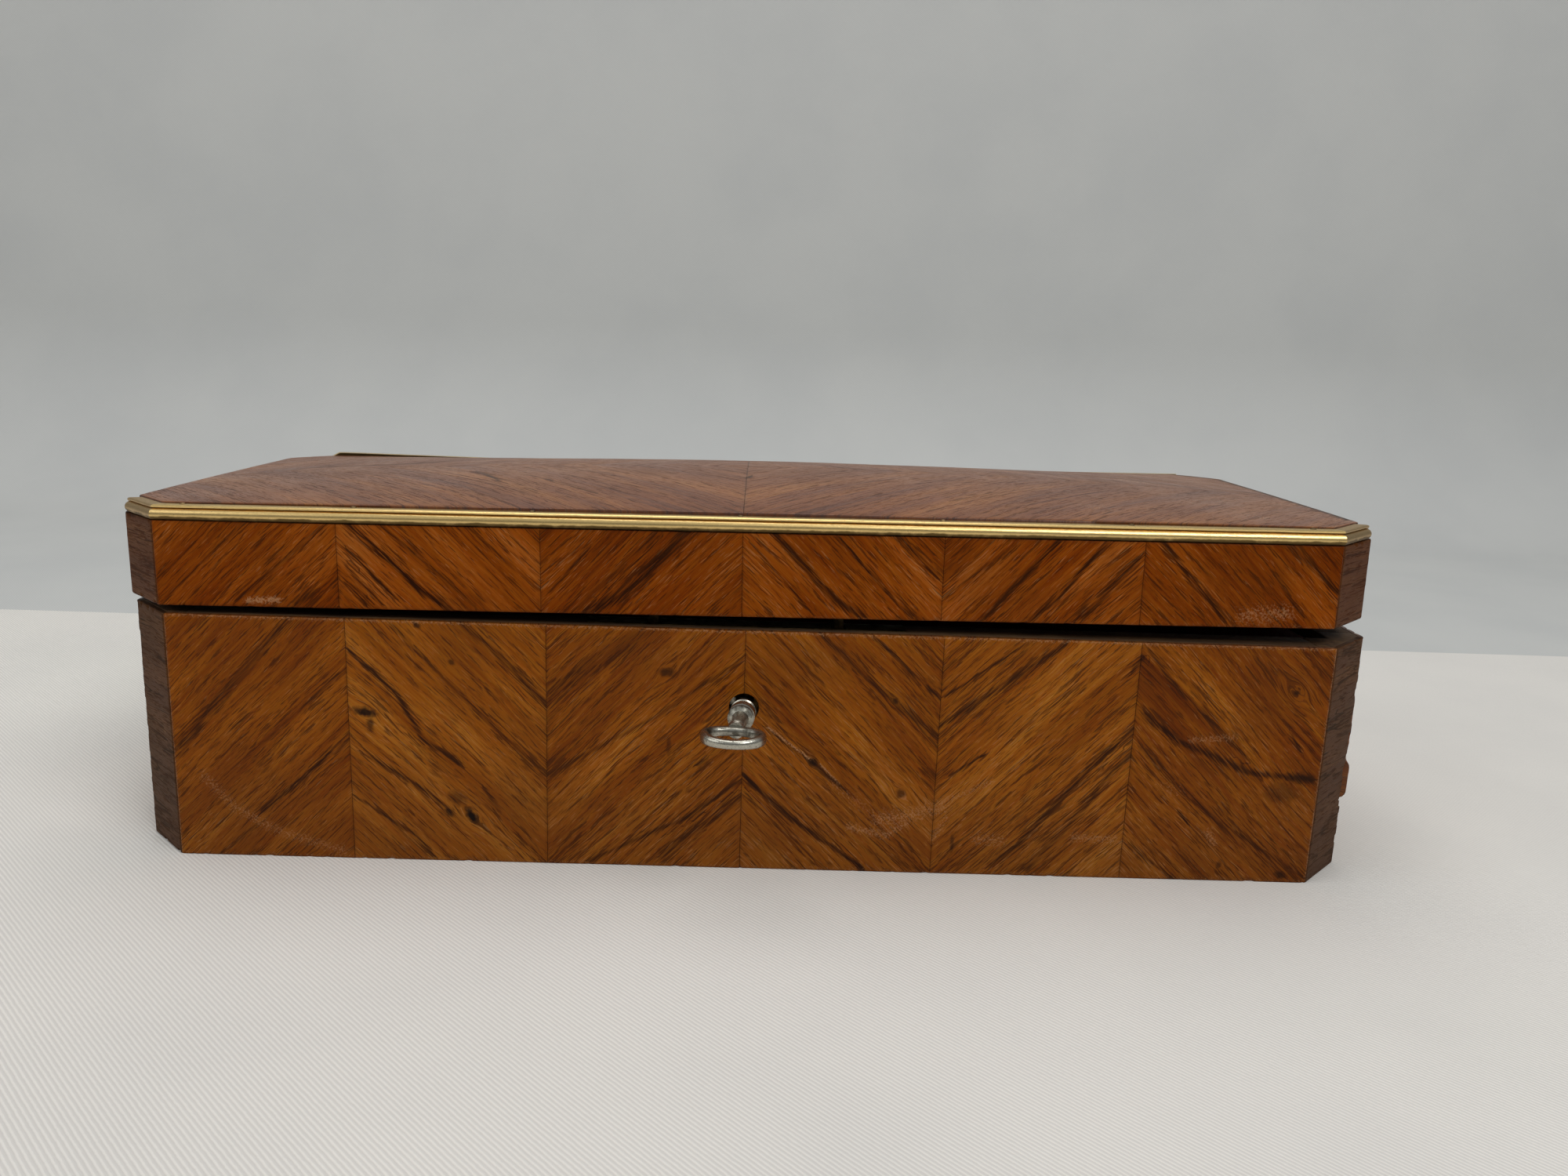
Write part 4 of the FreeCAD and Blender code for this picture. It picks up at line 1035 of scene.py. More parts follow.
@dataclass(frozen=True)
class Timber:
    """Plain oak of the carcase, darkened with age."""

    name: str
    axis: Axis = Axis.LENGTH
    tone: float = 1.0

    def material(self) -> Material:
        """Builds the material with its grain along one axis.

        Returns:
            The material.
        """
        shade = Shade(self.name)
        x, y, z = shade.split(shade.place_mm())
        run, *rest = {Axis.LENGTH: (x, y, z), Axis.DEPTH: (y, x, z), Axis.HEIGHT: (z, x, y)}[self.axis]
        growth = shade.noise(shade.join(shade.over(run, 40.0), *rest), 0.45, 3.0, 0.6)
        pores = shade.noise(shade.join(shade.over(run, 7.0), *rest), 3.4, 1.0)
        grime = shade.noise(shade.place_mm(), 0.09, 4.0)
        colour = shade.ramp(growth, [(place, tuple(part * self.tone for part in tint)) for place, tint in (
            (0.3, (84, 58, 36)), (0.5, (122, 88, 56)), (0.7, (150, 113, 74)))])
        mask = shade.band(pores, 0.6, 0.7)
        colour = shade.mix(shade.times(mask, 0.7), colour, (50, 33, 20))
        colour = shade.mix(shade.band(grime, 0.42, 0.7, 0.0, 0.6), colour, (58, 42, 30))
        height = shade.minus(shade.times(growth, 0.5), mask)
        rough = shade.scaled(grime, 0.2, 0.6)
        return shade.finish(colour, rough, height, 0.15, 0.7, Specular_IOR_Level=0.3)


@dataclass(frozen=True)
class OldMetal:
    """Aged metal: tarnish in its hollows, bright rubbed edges, and on mouldings also painted highlight and
    shade.
    """

    name: str
    bright: Tint
    dull: Tint
    tarnish: float = 0.5
    rough: float = 0.34
    pits: float = 0.0
    scratch: float = 0.5
    contrast: float = 0.0

    def material(self) -> Material:
        """Builds the material.

        Returns:
            The material.
        """
        shade = Shade(self.name)
        place = shade.place_mm()
        patches = shade.noise(place, 0.22, 5.0, 0.62)
        specks = shade.noise(place, 2.4, 3.0, 0.6)
        x, y, z = shade.split(place)
        brushed = shade.noise(shade.join(shade.times(x, 0.25), shade.times(y, 0.25), z), 7.0, 2.0)
        patches = shade.scaled(patches, 1.0 - 1.3 * self.contrast, 0.65 * self.contrast)
        # The stored share brightens the metal: wear, and on the mouldings also a painted highlight and
        # painted shade.
        rub = shade.attribute("rub").outputs["Fac"]
        cover = shade.minus(patches, shade.times(rub, 0.22 + self.contrast))
        cover = shade.plus(cover, 0.45 * self.contrast)
        mask = shade.band(cover, 0.62 - self.tarnish * 0.3, 0.74 - self.tarnish * 0.1)
        colour = shade.mix(mask, self.bright, self.dull)
        dots = shade.band(specks, 0.64, 0.74)
        colour = shade.mix(shade.times(dots, 0.45), colour, (44, 32, 18))
        colour = shade.mix(shade.band(brushed, 0.4, 0.8, 0.0, 0.22), colour, self.dull)
        rough = shade.scaled(mask, 0.2, self.rough)
        rough = shade.scaled(brushed, 0.12, rough)
        height = shade.times(brushed, self.scratch)
        height = shade.minus(height, shade.times(dots, 0.5))
        if self.pits:
            holes = shade.node("TexVoronoi", {"feature": "F1"}, {"Vector": place, "Scale": 0.9,
                                                                "Randomness": 1.0}).outputs["Distance"]
            hole = shade.band(shade.scaled(specks, 0.5, holes), 0.44, 0.3)
            colour = shade.mix(shade.times(hole, 0.75), colour, (70, 48, 30))
            height = shade.minus(height, shade.times(hole, self.pits * 2.0))
            rough = shade.scaled(hole, 0.25, rough)
        return shade.finish(colour, rough, height, 0.05, 0.7, Metallic=1.0)


@dataclass(frozen=True)
class Satin:
    """Faded crimson satin with a fine sheen across its threads."""

    name: str

    def material(self) -> Material:
        """Builds the material.

        Returns:
            The material.
        """
        shade = Shade(self.name)
        place = shade.place_mm()
        x, y, z = shade.split(place)
        slub = shade.noise(shade.join(shade.over(x, 9.0), y, z), 1.6, 2.0)
        wefts = shade.ribs(place, 1.5)
        fade = shade.noise(place, 0.035, 4.0, 0.55)
        stain = shade.noise(place, 0.08, 4.0, 0.6)
        colour = shade.ramp(fade, [(0.3, (116, 22, 34)), (0.5, (142, 38, 46)),
                                   (0.72, (168, 78, 76))])
        colour = shade.mix(shade.band(slub, 0.45, 0.75, 0.0, 0.35), colour, (186, 104, 98))
        colour = shade.mix(shade.band(stain, 0.6, 0.78, 0.0, 0.4), colour, (92, 46, 36))
        rough = shade.scaled(slub, 0.16, 0.3)
        height = shade.plus(shade.times(wefts, 0.5), slub)
        return shade.finish(colour, rough, height, 0.06, 0.6, Sheen_Weight=0.35, Sheen_Roughness=0.35,
                            Specular_IOR_Level=0.5)


@dataclass(frozen=True)
class TableCloth:
    """Matt ground under the box."""

    name: str
    tint: Tint
    shadow: Tint
    rib: float = 0.4

    def material(self) -> Material:
        """Builds the material.

        Returns:
            The material.
        """
        shade = Shade(self.name)
        place = shade.place_mm()
        thread = shade.noise(place, 1.3, 3.0)
        clouds = shade.noise(place, 0.012, 4.0)
        weave = shade.scaled(thread, 0.6, shade.ribs(place, 0.5))
        colour = shade.mix(shade.band(clouds, 0.3, 0.75, 0.0, 0.5), self.tint, self.shadow)
        colour = shade.mix(shade.band(weave, 0.3, 1.1, 0.0, 0.28), colour, (170, 168, 165))
        return shade.finish(colour, 0.9, weave, 0.15, self.rib, Specular_IOR_Level=0.15)


class Finishes:
    """Every material of the box, each made once."""

    def __init__(self) -> None:
        """Builds the materials."""
        self.front = Rosewood("rosewood_front", spots=FRONT_MARKS.spots).material()
        self.lid_front = Rosewood("rosewood_lid", warmth=0.97, gold=0.9, coat=0.0, shine=0.03).material()
        self.ends = Rosewood("rosewood_ends", fade_and_sheen=0.1, warmth=0.94, shine=0.25).material()
        # The cants' greying is partly fading and partly a painted grey sheen.
        self.cants = Rosewood("rosewood_cants", fade_and_sheen=0.6, cracks=0.9, gloss=0.5, warmth=0.66,
                              coat=0.0, shine=0.05, faded=(74, 56, 40)).material()
        self.lid_cants = Rosewood("rosewood_lid_cants", fade_and_sheen=0.5, cracks=0.8, gloss=0.46, warmth=0.7,
                                  coat=0.0, shine=0.05, faded=(80, 50, 32)).material()
        self.top = Rosewood("rosewood_top", fade_and_sheen=0.05, gloss=0.32, warmth=0.96, coat=0.08,
                            shine=0.42).material()
        self.oak = {axis: Timber("oak_" + axis.value, axis, 0.72).material() for axis in Axis}
        self.brass = OldMetal("old_brass", (232, 200, 134), (112, 92, 56), 0.42, 0.26,
                              contrast=0.45).material()
        self.corner_brass = OldMetal("corner_brass", (190, 160, 112), (104, 86, 60), 0.55, 0.36,
                                     contrast=0.3).material()
        self.lock_brass = OldMetal("lock_brass", (122, 102, 64), (62, 49, 31), 0.75, 0.4).material()
        # Darker than the lock brass as painted shade: the striker sits in the shadowed gap under the lid, and
        # the strips' inner faces use it too.
        self.striker = OldMetal("striker_brass", (86, 70, 44), (44, 35, 24), 0.8, 0.48).material()
        self.steel = OldMetal("key_steel", (186, 183, 170), (58, 54, 44), 0.8, 0.22, 0.6).material()
        self.iron = OldMetal("dark_iron", (96, 90, 84), (54, 46, 40), 0.6, 0.42, 0.3).material()
        self.satin = Satin("crimson_satin").material()


def settle(piece: Object, body: str, slot: str, finish: Material | None, *nodes: str) -> None:
    """Hands a finished piece to the frame and reports it.

    Args:
        piece: the piece.
        body: body that it moves with.
        slot: not used.
        finish: its material, or none where it has it already.
        nodes: CAD nodes that it stands for.
    """
    if finish is not None:
        piece.data.materials.clear()
        piece.data.materials.append(finish)
    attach(piece, body)
    if nodes:
        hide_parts(*nodes)
    LOG.info("%s rides on %s with %d faces", piece.name, body, len(piece.data.polygons))


# Veneer


@dataclass(frozen=True)
class Figure:
    """How the grain lies in one leaf: its slope, the line that it is folded about, its place in the stack."""

    slope: float = 45.0
    fold: float = 0.0
    mirrored: bool = False
    layer: float = 0.0
    bend: float = 0.55
    stretch: float = 0.6

    def grain(self, u: ndarray, v: ndarray, knots: tuple = ()) -> ndarray:
        """Coordinates along and across the grain.

        Args:
            u: places along the side.
            v: heights.
            knots: place and radius of the knots that the grain flows round.

        Returns:
            Along, across and layer for each place.
        """
        way = -1.0 if self.mirrored else 1.0
        cosine, sine = math.cos(math.radians(self.slope)), math.sin(math.radians(self.slope))
        run = (u - self.fold) * way
        along, across = run * cosine + v * sine, v * cosine - run * sine
        flow = across.copy()
        for knot_u, knot_v, radius in knots:
            spot = (knot_u - self.fold) * way
            d_along = (along - spot * cosine - knot_v * sine) * self.stretch
            d_across = across - knot_v * cosine + spot * sine
            reach = d_along ** 2 + d_across ** 2 + 0.25 * radius ** 2
            flow -= self.bend * d_across * radius ** 2 / reach * np.exp(-reach / (radius * 3.0) ** 2)
        return rows(along, flow, self.layer)


class Patchwork:
    """Gathers the closed leaves of one sheet and joins them into a piece."""

    def __init__(self) -> None:
        """Starts with no leaves."""
        self.points: list[ndarray] = []
        self.faces: list[Face] = []
        self.fields: dict[str, list[ndarray]] = {}
        self.count = 0

    def add(self, points: ndarray, faces: list, fields: dict[str, ndarray], tone: float = 0.0) -> None:
        """Adds one leaf.

        Args:
            points: its points.
            faces: its faces.
            fields: values stored on its points.
            tone: how much lighter or darker the leaf is than the next.
        """
        self.points.append(points)
        self.faces += [tuple(corner + self.count for corner in face) for face in faces]
        self.count += len(points)
        for key, values in {**fields, "leaf": np.full(len(points), tone)}.items():
            self.fields.setdefault(key, []).append(values)

    def piece(self, name: str, place: Matrix | None = None) -> Object:
        """Joins the leaves.

        Args:
            name: name of the piece.
            place: transform of the lid, for pieces of the lid.

        Returns:
            The piece.
        """
        points = np.concatenate(self.points)
        mesh = raw_mesh(name, points if place is None else moved(points, place), self.faces)
        for key, values in self.fields.items():
            keep(mesh, key, np.concatenate(values))
        return link_piece(name, mesh, 50.0)


@dataclass
class UprightSheet:
    """Sawn veneer on one upright side of the base or of the lid."""

    side: Side
    low: float
    high: float
    seams: tuple[float, ...] = ()
    slope: float = 45.0
    fold_pitch: float = 46.7
    shift: float = 0.0
    layer: float = 0.0
    cell: float = 0.75
    marks: Marks = field(default_factory=Marks)
    cutters: dict[int, list] = field(default_factory=dict)
    raised: bool = False
    tones: tuple[float, ...] = (0.0,)
    ragged: Pair = (0.0, 0.0)
    blisters: tuple = ()
    losses: tuple = ()
    swell: float = 0.07
    ripple: float = 0.025
    rim_fall: float = 0.2
    chip: float = 0.35

    def frame(self) -> tuple[ndarray, ndarray, ndarray, float]:
        """Middle, direction, outward normal and half length of the side."""
        first, last = PLAN.edge(self.side, 0.0)
        length = float(np.linalg.norm(last - first))
        way = (last - first) / length
        return (first + last) / 2.0, way, np.array([way[1], -way[0]]), length / 2.0

    @staticmethod
    def lips(ends: tuple[bool, bool]) -> Pair:
        """Width of the rounding at the first and the last limit of a leaf."""
        return (OUTER_LIP if ends[0] else SEAM_LIP, OUTER_LIP if ends[1] else SEAM_LIP)

    def relief(self, u: ndarray, v: ndarray, span: Pair, ends: tuple[bool, bool],
               seed: float) -> ndarray:
        """Small rises and falls of the face: rounded and chipped edges, and old glue lines.

        Args:
            u: places along the side.
            v: heights.
            span: limits of the leaf.
            ends: whether each limit is an outer edge rather than a seam.
            seed: picks another pattern.

        Returns:
            How far each place stands proud, in millimetres.
        """
        first, last = self.lips(ends)
        fall = 0.5 * first * round_off(u - span[0], first) + 0.5 * last * round_off(span[1] - u, last)
        rims = round_off(v - self.low, OUTER_LIP) + round_off(self.high - v, OUTER_LIP)
        fall = fall + self.rim_fall * rims
        flat = rows(u, v, 0.0)
        nibble = smooth_band(drift(flat / 2.2, seed + 4.0), 0.28, 0.45)
        rim = np.minimum(v - self.low, self.high - v)
        fall = fall + self.chip * nibble * (1.0 - smooth_band(rim, 0.3, 1.1))
        proud = self.swell * drift(flat / 26.0, seed) + self.ripple * drift(flat / 6.0, seed + 2.0) - fall
        for blister_u, blister_v, reach, tall, height in self.blisters:
            proud = proud + height * np.exp(-(((u - blister_u) / reach) ** 8) - ((v - blister_v) / tall) ** 8)
        return proud

    def broken(self, u: ndarray, v: ndarray, span: Pair, ends: tuple[bool, bool]) -> ndarray:
        """Shift along the side where an outer edge is broken back in uneven steps.

        Args:
            u: places along the side.
            v: heights.
            span: limits of the leaf.
            ends: whether each limit is an outer edge.

        Returns:
            Shift of each place, in millimetres.
        """
        course = np.floor(v / 2.3 + 1.3 * drift(rows(v / 7.0, 0.0, 0.0), self.layer))
        steps = drift(rows(course * 1.37, course * 0.61, 0.5), self.layer)
        shift = np.zeros(len(u))
        for at_end, way in ((0, 1.0), (1, -1.0)):
            away = np.abs(u - span[at_end])
            if ends[at_end]:
                near = 1.0 - smooth_band(away, 0.0, 3.2)
                shift = shift + way * near * self.ragged[at_end] * np.clip(0.25 + steps, -0.15, 1.0)
                for low, high, depth in (loss[:3] for loss in self.losses if loss[3] == at_end):
                    inside = smooth_band(v, low - 0.3, low + 0.3) - smooth_band(v, high - 0.3, high + 0.3)
                    near = 1.0 - smooth_band(away, 0.0, depth * 2.2)
                    shift = shift + way * near * inside * depth * (0.8 + 0.6 * steps)
        return shift

    def fields(self, points: ndarray, span: Pair, figure: Figure) -> dict[str, ndarray]:
        """Values that the rosewood reads at each point of a leaf.

        Args:
            points: points of the leaf.
            span: limits of the leaf along the side.
            figure: how the grain lies.

        Returns:
            Grain, vein and edge values.
        """
        middle, way, _, _ = self.frame()
        u, v = (points[:, :2] - middle) @ way, points[:, 2]
        x, z = u, v
        if self.raised:
            x, _, z = moved(rows(u, -PLAN.half_depth, v), PLAN.lid_place()).T
        reach = np.minimum(np.minimum(u - span[0], span[1] - u), np.minimum(v - self.low, self.high - v))
        knots = tuple(knot for knot in self.marks.knots if span[0] - 5 < knot[0] < span[1] + 5)
        return {"grain": figure.grain(u, v + self.shift, knots), "vein": self.marks.vein_field(x, z, span),
                "edge": rows(np.maximum(reach, 0.0), self.marks.scuff_field(x, z), 0.0)}

    def build(self, work: Patchwork) -> None:
        """Adds the leaves of this side to a patchwork.

        Args:
            work: patchwork that they go to.
        """
        middle, way, out, half = self.frame()
        limits = [-half, *self.seams, half]
        inner = half - MITRE * PLAN.veneer
        for index, span in enumerate(zip(limits, limits[1:])):
            ends = (index == 0, index == len(limits) - 2)
            mirrored = bool(index % 2)
            fold = span[1] if mirrored else span[0]
            if index == 0 and self.seams:
                fold = span[1] - self.fold_pitch
            u_line = stations(*span, self.cell, self.lips(ends))
            v_line = stations(self.low, self.high, self.cell, (OUTER_LIP, OUTER_LIP))
            u, v = crossed(u_line, v_line)
            proud = self.relief(u, v, span, ends, self.layer + index)
            u_face = u + self.broken(u, v, span, ends)
            first, last = -inner if ends[0] else span[0] + SEAM_GAP, inner if ends[1] else span[1] - SEAM_GAP
            u_back = first + (u - span[0]) / (span[1] - span[0]) * (last - first)
            face = rows(*(middle + np.outer(u_face, way) + np.outer(proud, out)).T, v)
            back = rows(*(middle + np.outer(u_back, way) - PLAN.veneer * out).T, v)
            shape = (len(u_line), len(v_line), 3)
            rising = (self.slope > 0) != mirrored
            points, faces = closed_slab(face.reshape(shape), back.reshape(shape), rising, False)
            if index in self.cutters:
                cut = carve(raw_mesh("leaf", points, faces), [tool() for tool in self.cutters[index]])
                points = np.array([vert.co for vert in cut.vertices], dtype=float) / MM
                faces = [tuple(polygon.vertices) for polygon in cut.polygons]
            figure = Figure(self.slope, fold, mirrored, self.layer + 0.16 * index)
            work.add(points, faces, self.fields(points, span, figure), self.tones[index % len(self.tones)])


@dataclass(frozen=True)
class HingeSeat:
    """Notches that the hinges need in the back veneers, in millimetres."""

    inset: float = 95.0
    half: float = 16.3
    base_low: float = 58.1
    lid_high: float = 2.9
    lid_shift: float = 1.1

    def cutters(self, for_lid: bool) -> list:
        """Makes the shapes that are cut from a back veneer.

        Args:
            for_lid: whether the veneer is the lid's.

        Returns:
            One maker of a cutter for each hinge.
        """
        low, high = (-5.0, self.lid_high) if for_lid else (self.base_low, 70.0)
        shift = self.lid_shift if for_lid else 0.0
        return [lambda place=side * self.inset + shift: block_mesh(
            "notch", (place - self.half, 50.0, low), (place + self.half, 65.0, high)) for side in (-1, 1)]


@dataclass(frozen=True)
class Keyhole:
    """Round hole with a slot below it."""

    x: float = -2.3
    z: float = 41.1
    radius: float = 3.6
    slot: float = 2.8
    foot: float = 35.3

    def cutter(self) -> Mesh:
        """A closed prism in the shape of the hole.

        Returns:
            The prism, which is taken out of the front veneer.
        """
        sides = 48
        lean = math.asin(self.slot / 2 / self.radius)
        angles = np.linspace(-math.pi / 2 + lean, 1.5 * math.pi - lean, sides)
        ring = [(self.x + self.radius * math.cos(a), self.z + self.radius * math.sin(a)) for a in angles]
        ring += [(self.x - self.slot / 2, self.foot), (self.x + self.slot / 2, self.foot)]
        points = [(x, y, z) for y in (-70.0, -50.0) for x, z in ring]
        count = len(ring)
        faces = [tuple(range(count)), tuple(reversed(range(count, 2 * count)))]
        faces += [(i, i + count, (i + 1) % count + count, (i + 1) % count) for i in range(count)]
        return closed_mesh("keyhole", points, faces)


@dataclass
class CaseBoards:
    """Oak boards that carry the veneer, kept from the model and softened at their edges."""

    finishes: Finishes
    bevel: float = 0.35

    def softened(self, node: str) -> Object:
        """A copy of a model node with worn edges.

        Args:
            node: name of the node.

        Returns:
            The new piece.
        """
        shape = bmesh.new()
        shape.from_mesh(bpy.data.objects[node].data)
        bmesh.ops.remove_doubles(shape, verts=shape.verts, dist=WELD)
        bmesh.ops.dissolve_limit(shape, angle_limit=math.radians(1.0), verts=shape.verts, edges=shape.edges)
        sharp = [edge for edge in shape.edges
                 if len(edge.link_faces) == 2 and edge.calc_face_angle() > math.radians(25)]
        bmesh.ops.bevel(shape, geom=sharp, offset=self.bevel * MM, segments=2, profile=0.6, affect="EDGES",
                        clamp_overlap=True)
        mesh = bpy.data.meshes.new(node + "_worn")
        shape.to_mesh(mesh)
        shape.free()
        return link_piece(node + "_worn", mesh, 30.0)

    def build(self) -> None:
        """Dresses every board of the base and the lid."""
        runs = {"left_board": Axis.DEPTH, "right_board": Axis.DEPTH, "corner_posts": Axis.HEIGHT,
                "front_board": Axis.LENGTH, "back_board": Axis.LENGTH}
        for body, flat in (("base", "bottom_board"), ("lid", "top_panel")):
            for ending, axis in {**runs, flat: Axis.LENGTH}.items():
                node = f"{body}_{ending}"
                settle(self.softened(node), body, "oak", self.finishes.oak[axis], node)


@dataclass
class Veneers:
    """What the veneers of the base and of the lid have in common."""

    finishes: Finishes
    body: str
    high: float
    place: Matrix | None = None
    seat: HingeSeat = HingeSeat()

    def lay(self, piece: str, node: str, finish: Material, sheets: list[UprightSheet]) -> None:
        """Joins sheets into one piece and hands it to the frame.

        Args:
            piece: ending of the piece's name.
            node: ending of the name of the model node that it stands for.
            finish: its material.
            sheets: the sheets that it is made of.
        """
        work = Patchwork()
        for sheet in sheets:
            sheet.build(work)
        made = work.piece(f"{self.body}_{piece}", self.place)
        settle(made, self.body, "rosewood", finish, f"{self.body}_{node}")

    def lay_ends_and_back(self, extra: dict[Side, dict], **shared) -> None:
        """Lays the sheets of the two ends and the back.

        Args:
            extra: settings of one side's sheet alone.
            shared: settings of all three.
        """
        for side, seams, slope, layer in ((Side.LEFT, (0.0,), 45.0, 3.0), (Side.RIGHT, (0.0,), 45.0, 3.4),
                                          (Side.BACK, (), 4.0, 5.0)):
            settings = {**shared, **extra.get(side, {})}
            if side is Side.BACK:
                settings["cutters"] = {0: self.seat.cutters(self.body == "lid")}
            sheet = UprightSheet(side, 0.0, self.high, seams, slope, 46.5, layer=layer, **settings)
            self.lay(side.name.lower() + "_sheet", side.name.lower() + "_veneer", self.finishes.ends, [sheet])

    def lay_cants(self, finish: Material, seed: int, cracks: int, extra: dict[Side, dict], **shared) -> None:
        """Lays the four sheets of the canted corners as one piece.

        Args:
            finish: their material.
            seed: seed of the first one's cracks.
            cracks: number of cracks in each.
            extra: settings of one side's sheet alone.
            shared: settings of all four.
        """
        sheets = []
        for index, side in enumerate(CANTS):
            checks = drying_checks(seed + index, 0.0, self.high, cracks)
            settings = {**shared, **extra.get(side, {})}
            sheets.append(UprightSheet(side, 0.0, self.high, (), 0.0, layer=7.0 + index, marks=checks,
                                       **settings))
        self.lay("cants", "corner_veneers", finish, sheets)


@dataclass
class BaseVeneers(Veneers):
    """Rosewood on the outside of the base."""

    body: str = "base"
    high: float = PLAN.base_height
    keyhole: Keyhole = Keyhole()

    def build(self) -> None:
        """Makes the front, back, end and cant sheets."""
        front = UprightSheet(Side.FRONT, 0.0, self.high, PLAN.seams(), marks=FRONT_MARKS,
                             tones=(0.0, 0.05, 0.0, 0.0, 0.03, -0.035),
                             cutters={2: [self.keyhole.cutter], 3: [self.keyhole.cutter]})
        self.lay("front_leaves", "front_veneer", self.finishes.front, [front])
        loose = {"cell": 0.6, "blisters": ((-47.0, 22.7, 6.5, 4.7, 1.15), (-47.0, 38.0, 3.0, 6.0, 0.25)),
                 "losses": ((-1.0, 17.8, 2.4, 0),)}
        self.lay_ends_and_back({Side.RIGHT: loose}, cell=1.0, ragged=(0.5, 0.5))
        self.lay_cants(self.finishes.cants, 20, 22, {Side.FRONT_RIGHT: {"ragged": (0.3, 1.1),
                                                                        "losses": ((17.6, 27.4, 1.2, 1),)}},
                       cell=0.45, ragged=(0.7, 0.4))


@dataclass
class LidVeneers(Veneers):
    """Rosewood round the lid and the quartered sheets of its top."""

    body: str = "lid"
    high: float = PLAN.lid_wall
    place: Matrix = field(default_factory=PLAN.lid_place)
    lift: float = 61.8
    cell: float = 0.85
    swell: float = 0.08
    ripple: float = 0.02
    rim_fall: float = 0.2
    seam_fall: float = 0.05

    def build(self) -> None:
        """Makes the upright sheets and the domed top."""
        front = UprightSheet(Side.FRONT, 0.0, self.high, PLAN.seams(), shift=self.lift, marks=LID_MARKS,
                             raised=True, tones=(0.0, 0.05, -0.03, 0.01, 0.01, -0.02))
        self.lay("front_leaves", "front_veneer", self.finishes.lid_front, [front])
        self.lay_ends_and_back({}, shift=self.lift, cell=1.1)
        self.lay_cants(self.finishes.lid_cants, 30, 7, {}, shift=self.lift, cell=0.6, ragged=(0.3, 0.4))
        top = Patchwork()
        for x_side in (-1, 1):
            for y_side in (-1, 1):
                self.quarter(top, x_side, y_side)
        settle(top.piece("top_quarters", self.place), "lid", "rosewood", self.finishes.top, "lid_top_veneer")

    def quarter(self, work: Patchwork, x_side: int, y_side: int) -> None:
        """Adds one quarter of the domed top, its grain mirrored about both seams.

        Args:
            work: patchwork of the top.
            x_side: -1 for the left half, 1 for the right.
            y_side: -1 for the front half, 1 for the back.
        """
        outer = PLAN.half_length - PLAN.moulding_width
        deep = PLAN.half_depth - PLAN.moulding_width
        turn_x = PLAN.corner(1, 1, True, PLAN.moulding_width)[0]
        turn_y = PLAN.corner(1, 1, False, PLAN.moulding_width)[1]
        limits = (PLAN.seam_shift, outer) if x_side > 0 else (-outer, PLAN.seam_shift)
        x_line = stations(*limits, self.cell, UprightSheet.lips((x_side < 0, x_side > 0)))
        share_line = stations(0.0, deep, self.cell, (SEAM_LIP, OUTER_LIP)) / deep
        if y_side < 0:
            share_line = -share_line[::-1]
        x, share = crossed(x_line, share_line)
        limit = deep + np.clip((np.abs(x) - turn_x) / (outer - turn_x), 0.0, 1.0) * (turn_y - deep)
        y = share * limit
        rim = np.minimum(limit - np.abs(y), outer - np.abs(x))
        seam = np.minimum(np.abs(x - PLAN.seam_shift), np.abs(y))
        flat = rows(x, y, 0.0)
        proud = self.swell * drift(flat / 30.0, 3.0 + x_side) + self.ripple * drift(flat / 7.0, 5.0 + y_side)
        proud = proud - self.rim_fall * round_off(rim, OUTER_LIP) - self.seam_fall * round_off(seam, SEAM_LIP)
        skin = PLAN.dome(x, y)
        shape = (len(x_line), len(share_line), 3)
        face, back = rows(x, y, skin + PLAN.veneer + proud), rows(x, y, skin)
        points, faces = closed_slab(face.reshape(shape), back.reshape(shape), x_side * y_side < 0, True)
        run, depth = np.abs(points[:, 0] - PLAN.seam_shift), np.abs(points[:, 1])
        layer = 11.0 + 0.12 * x_side + 0.07 * y_side
        work.add(points, faces, {"grain": rows((run - depth) * DIAGONAL, (run + depth) * DIAGONAL, layer),
                                 "vein": TOP_MARKS.vein_field(points[:, 0], points[:, 1], limits),
                                 "edge": rows(np.tile(np.minimum(rim, seam), 2), 0.0, 0.0)})


# Brass


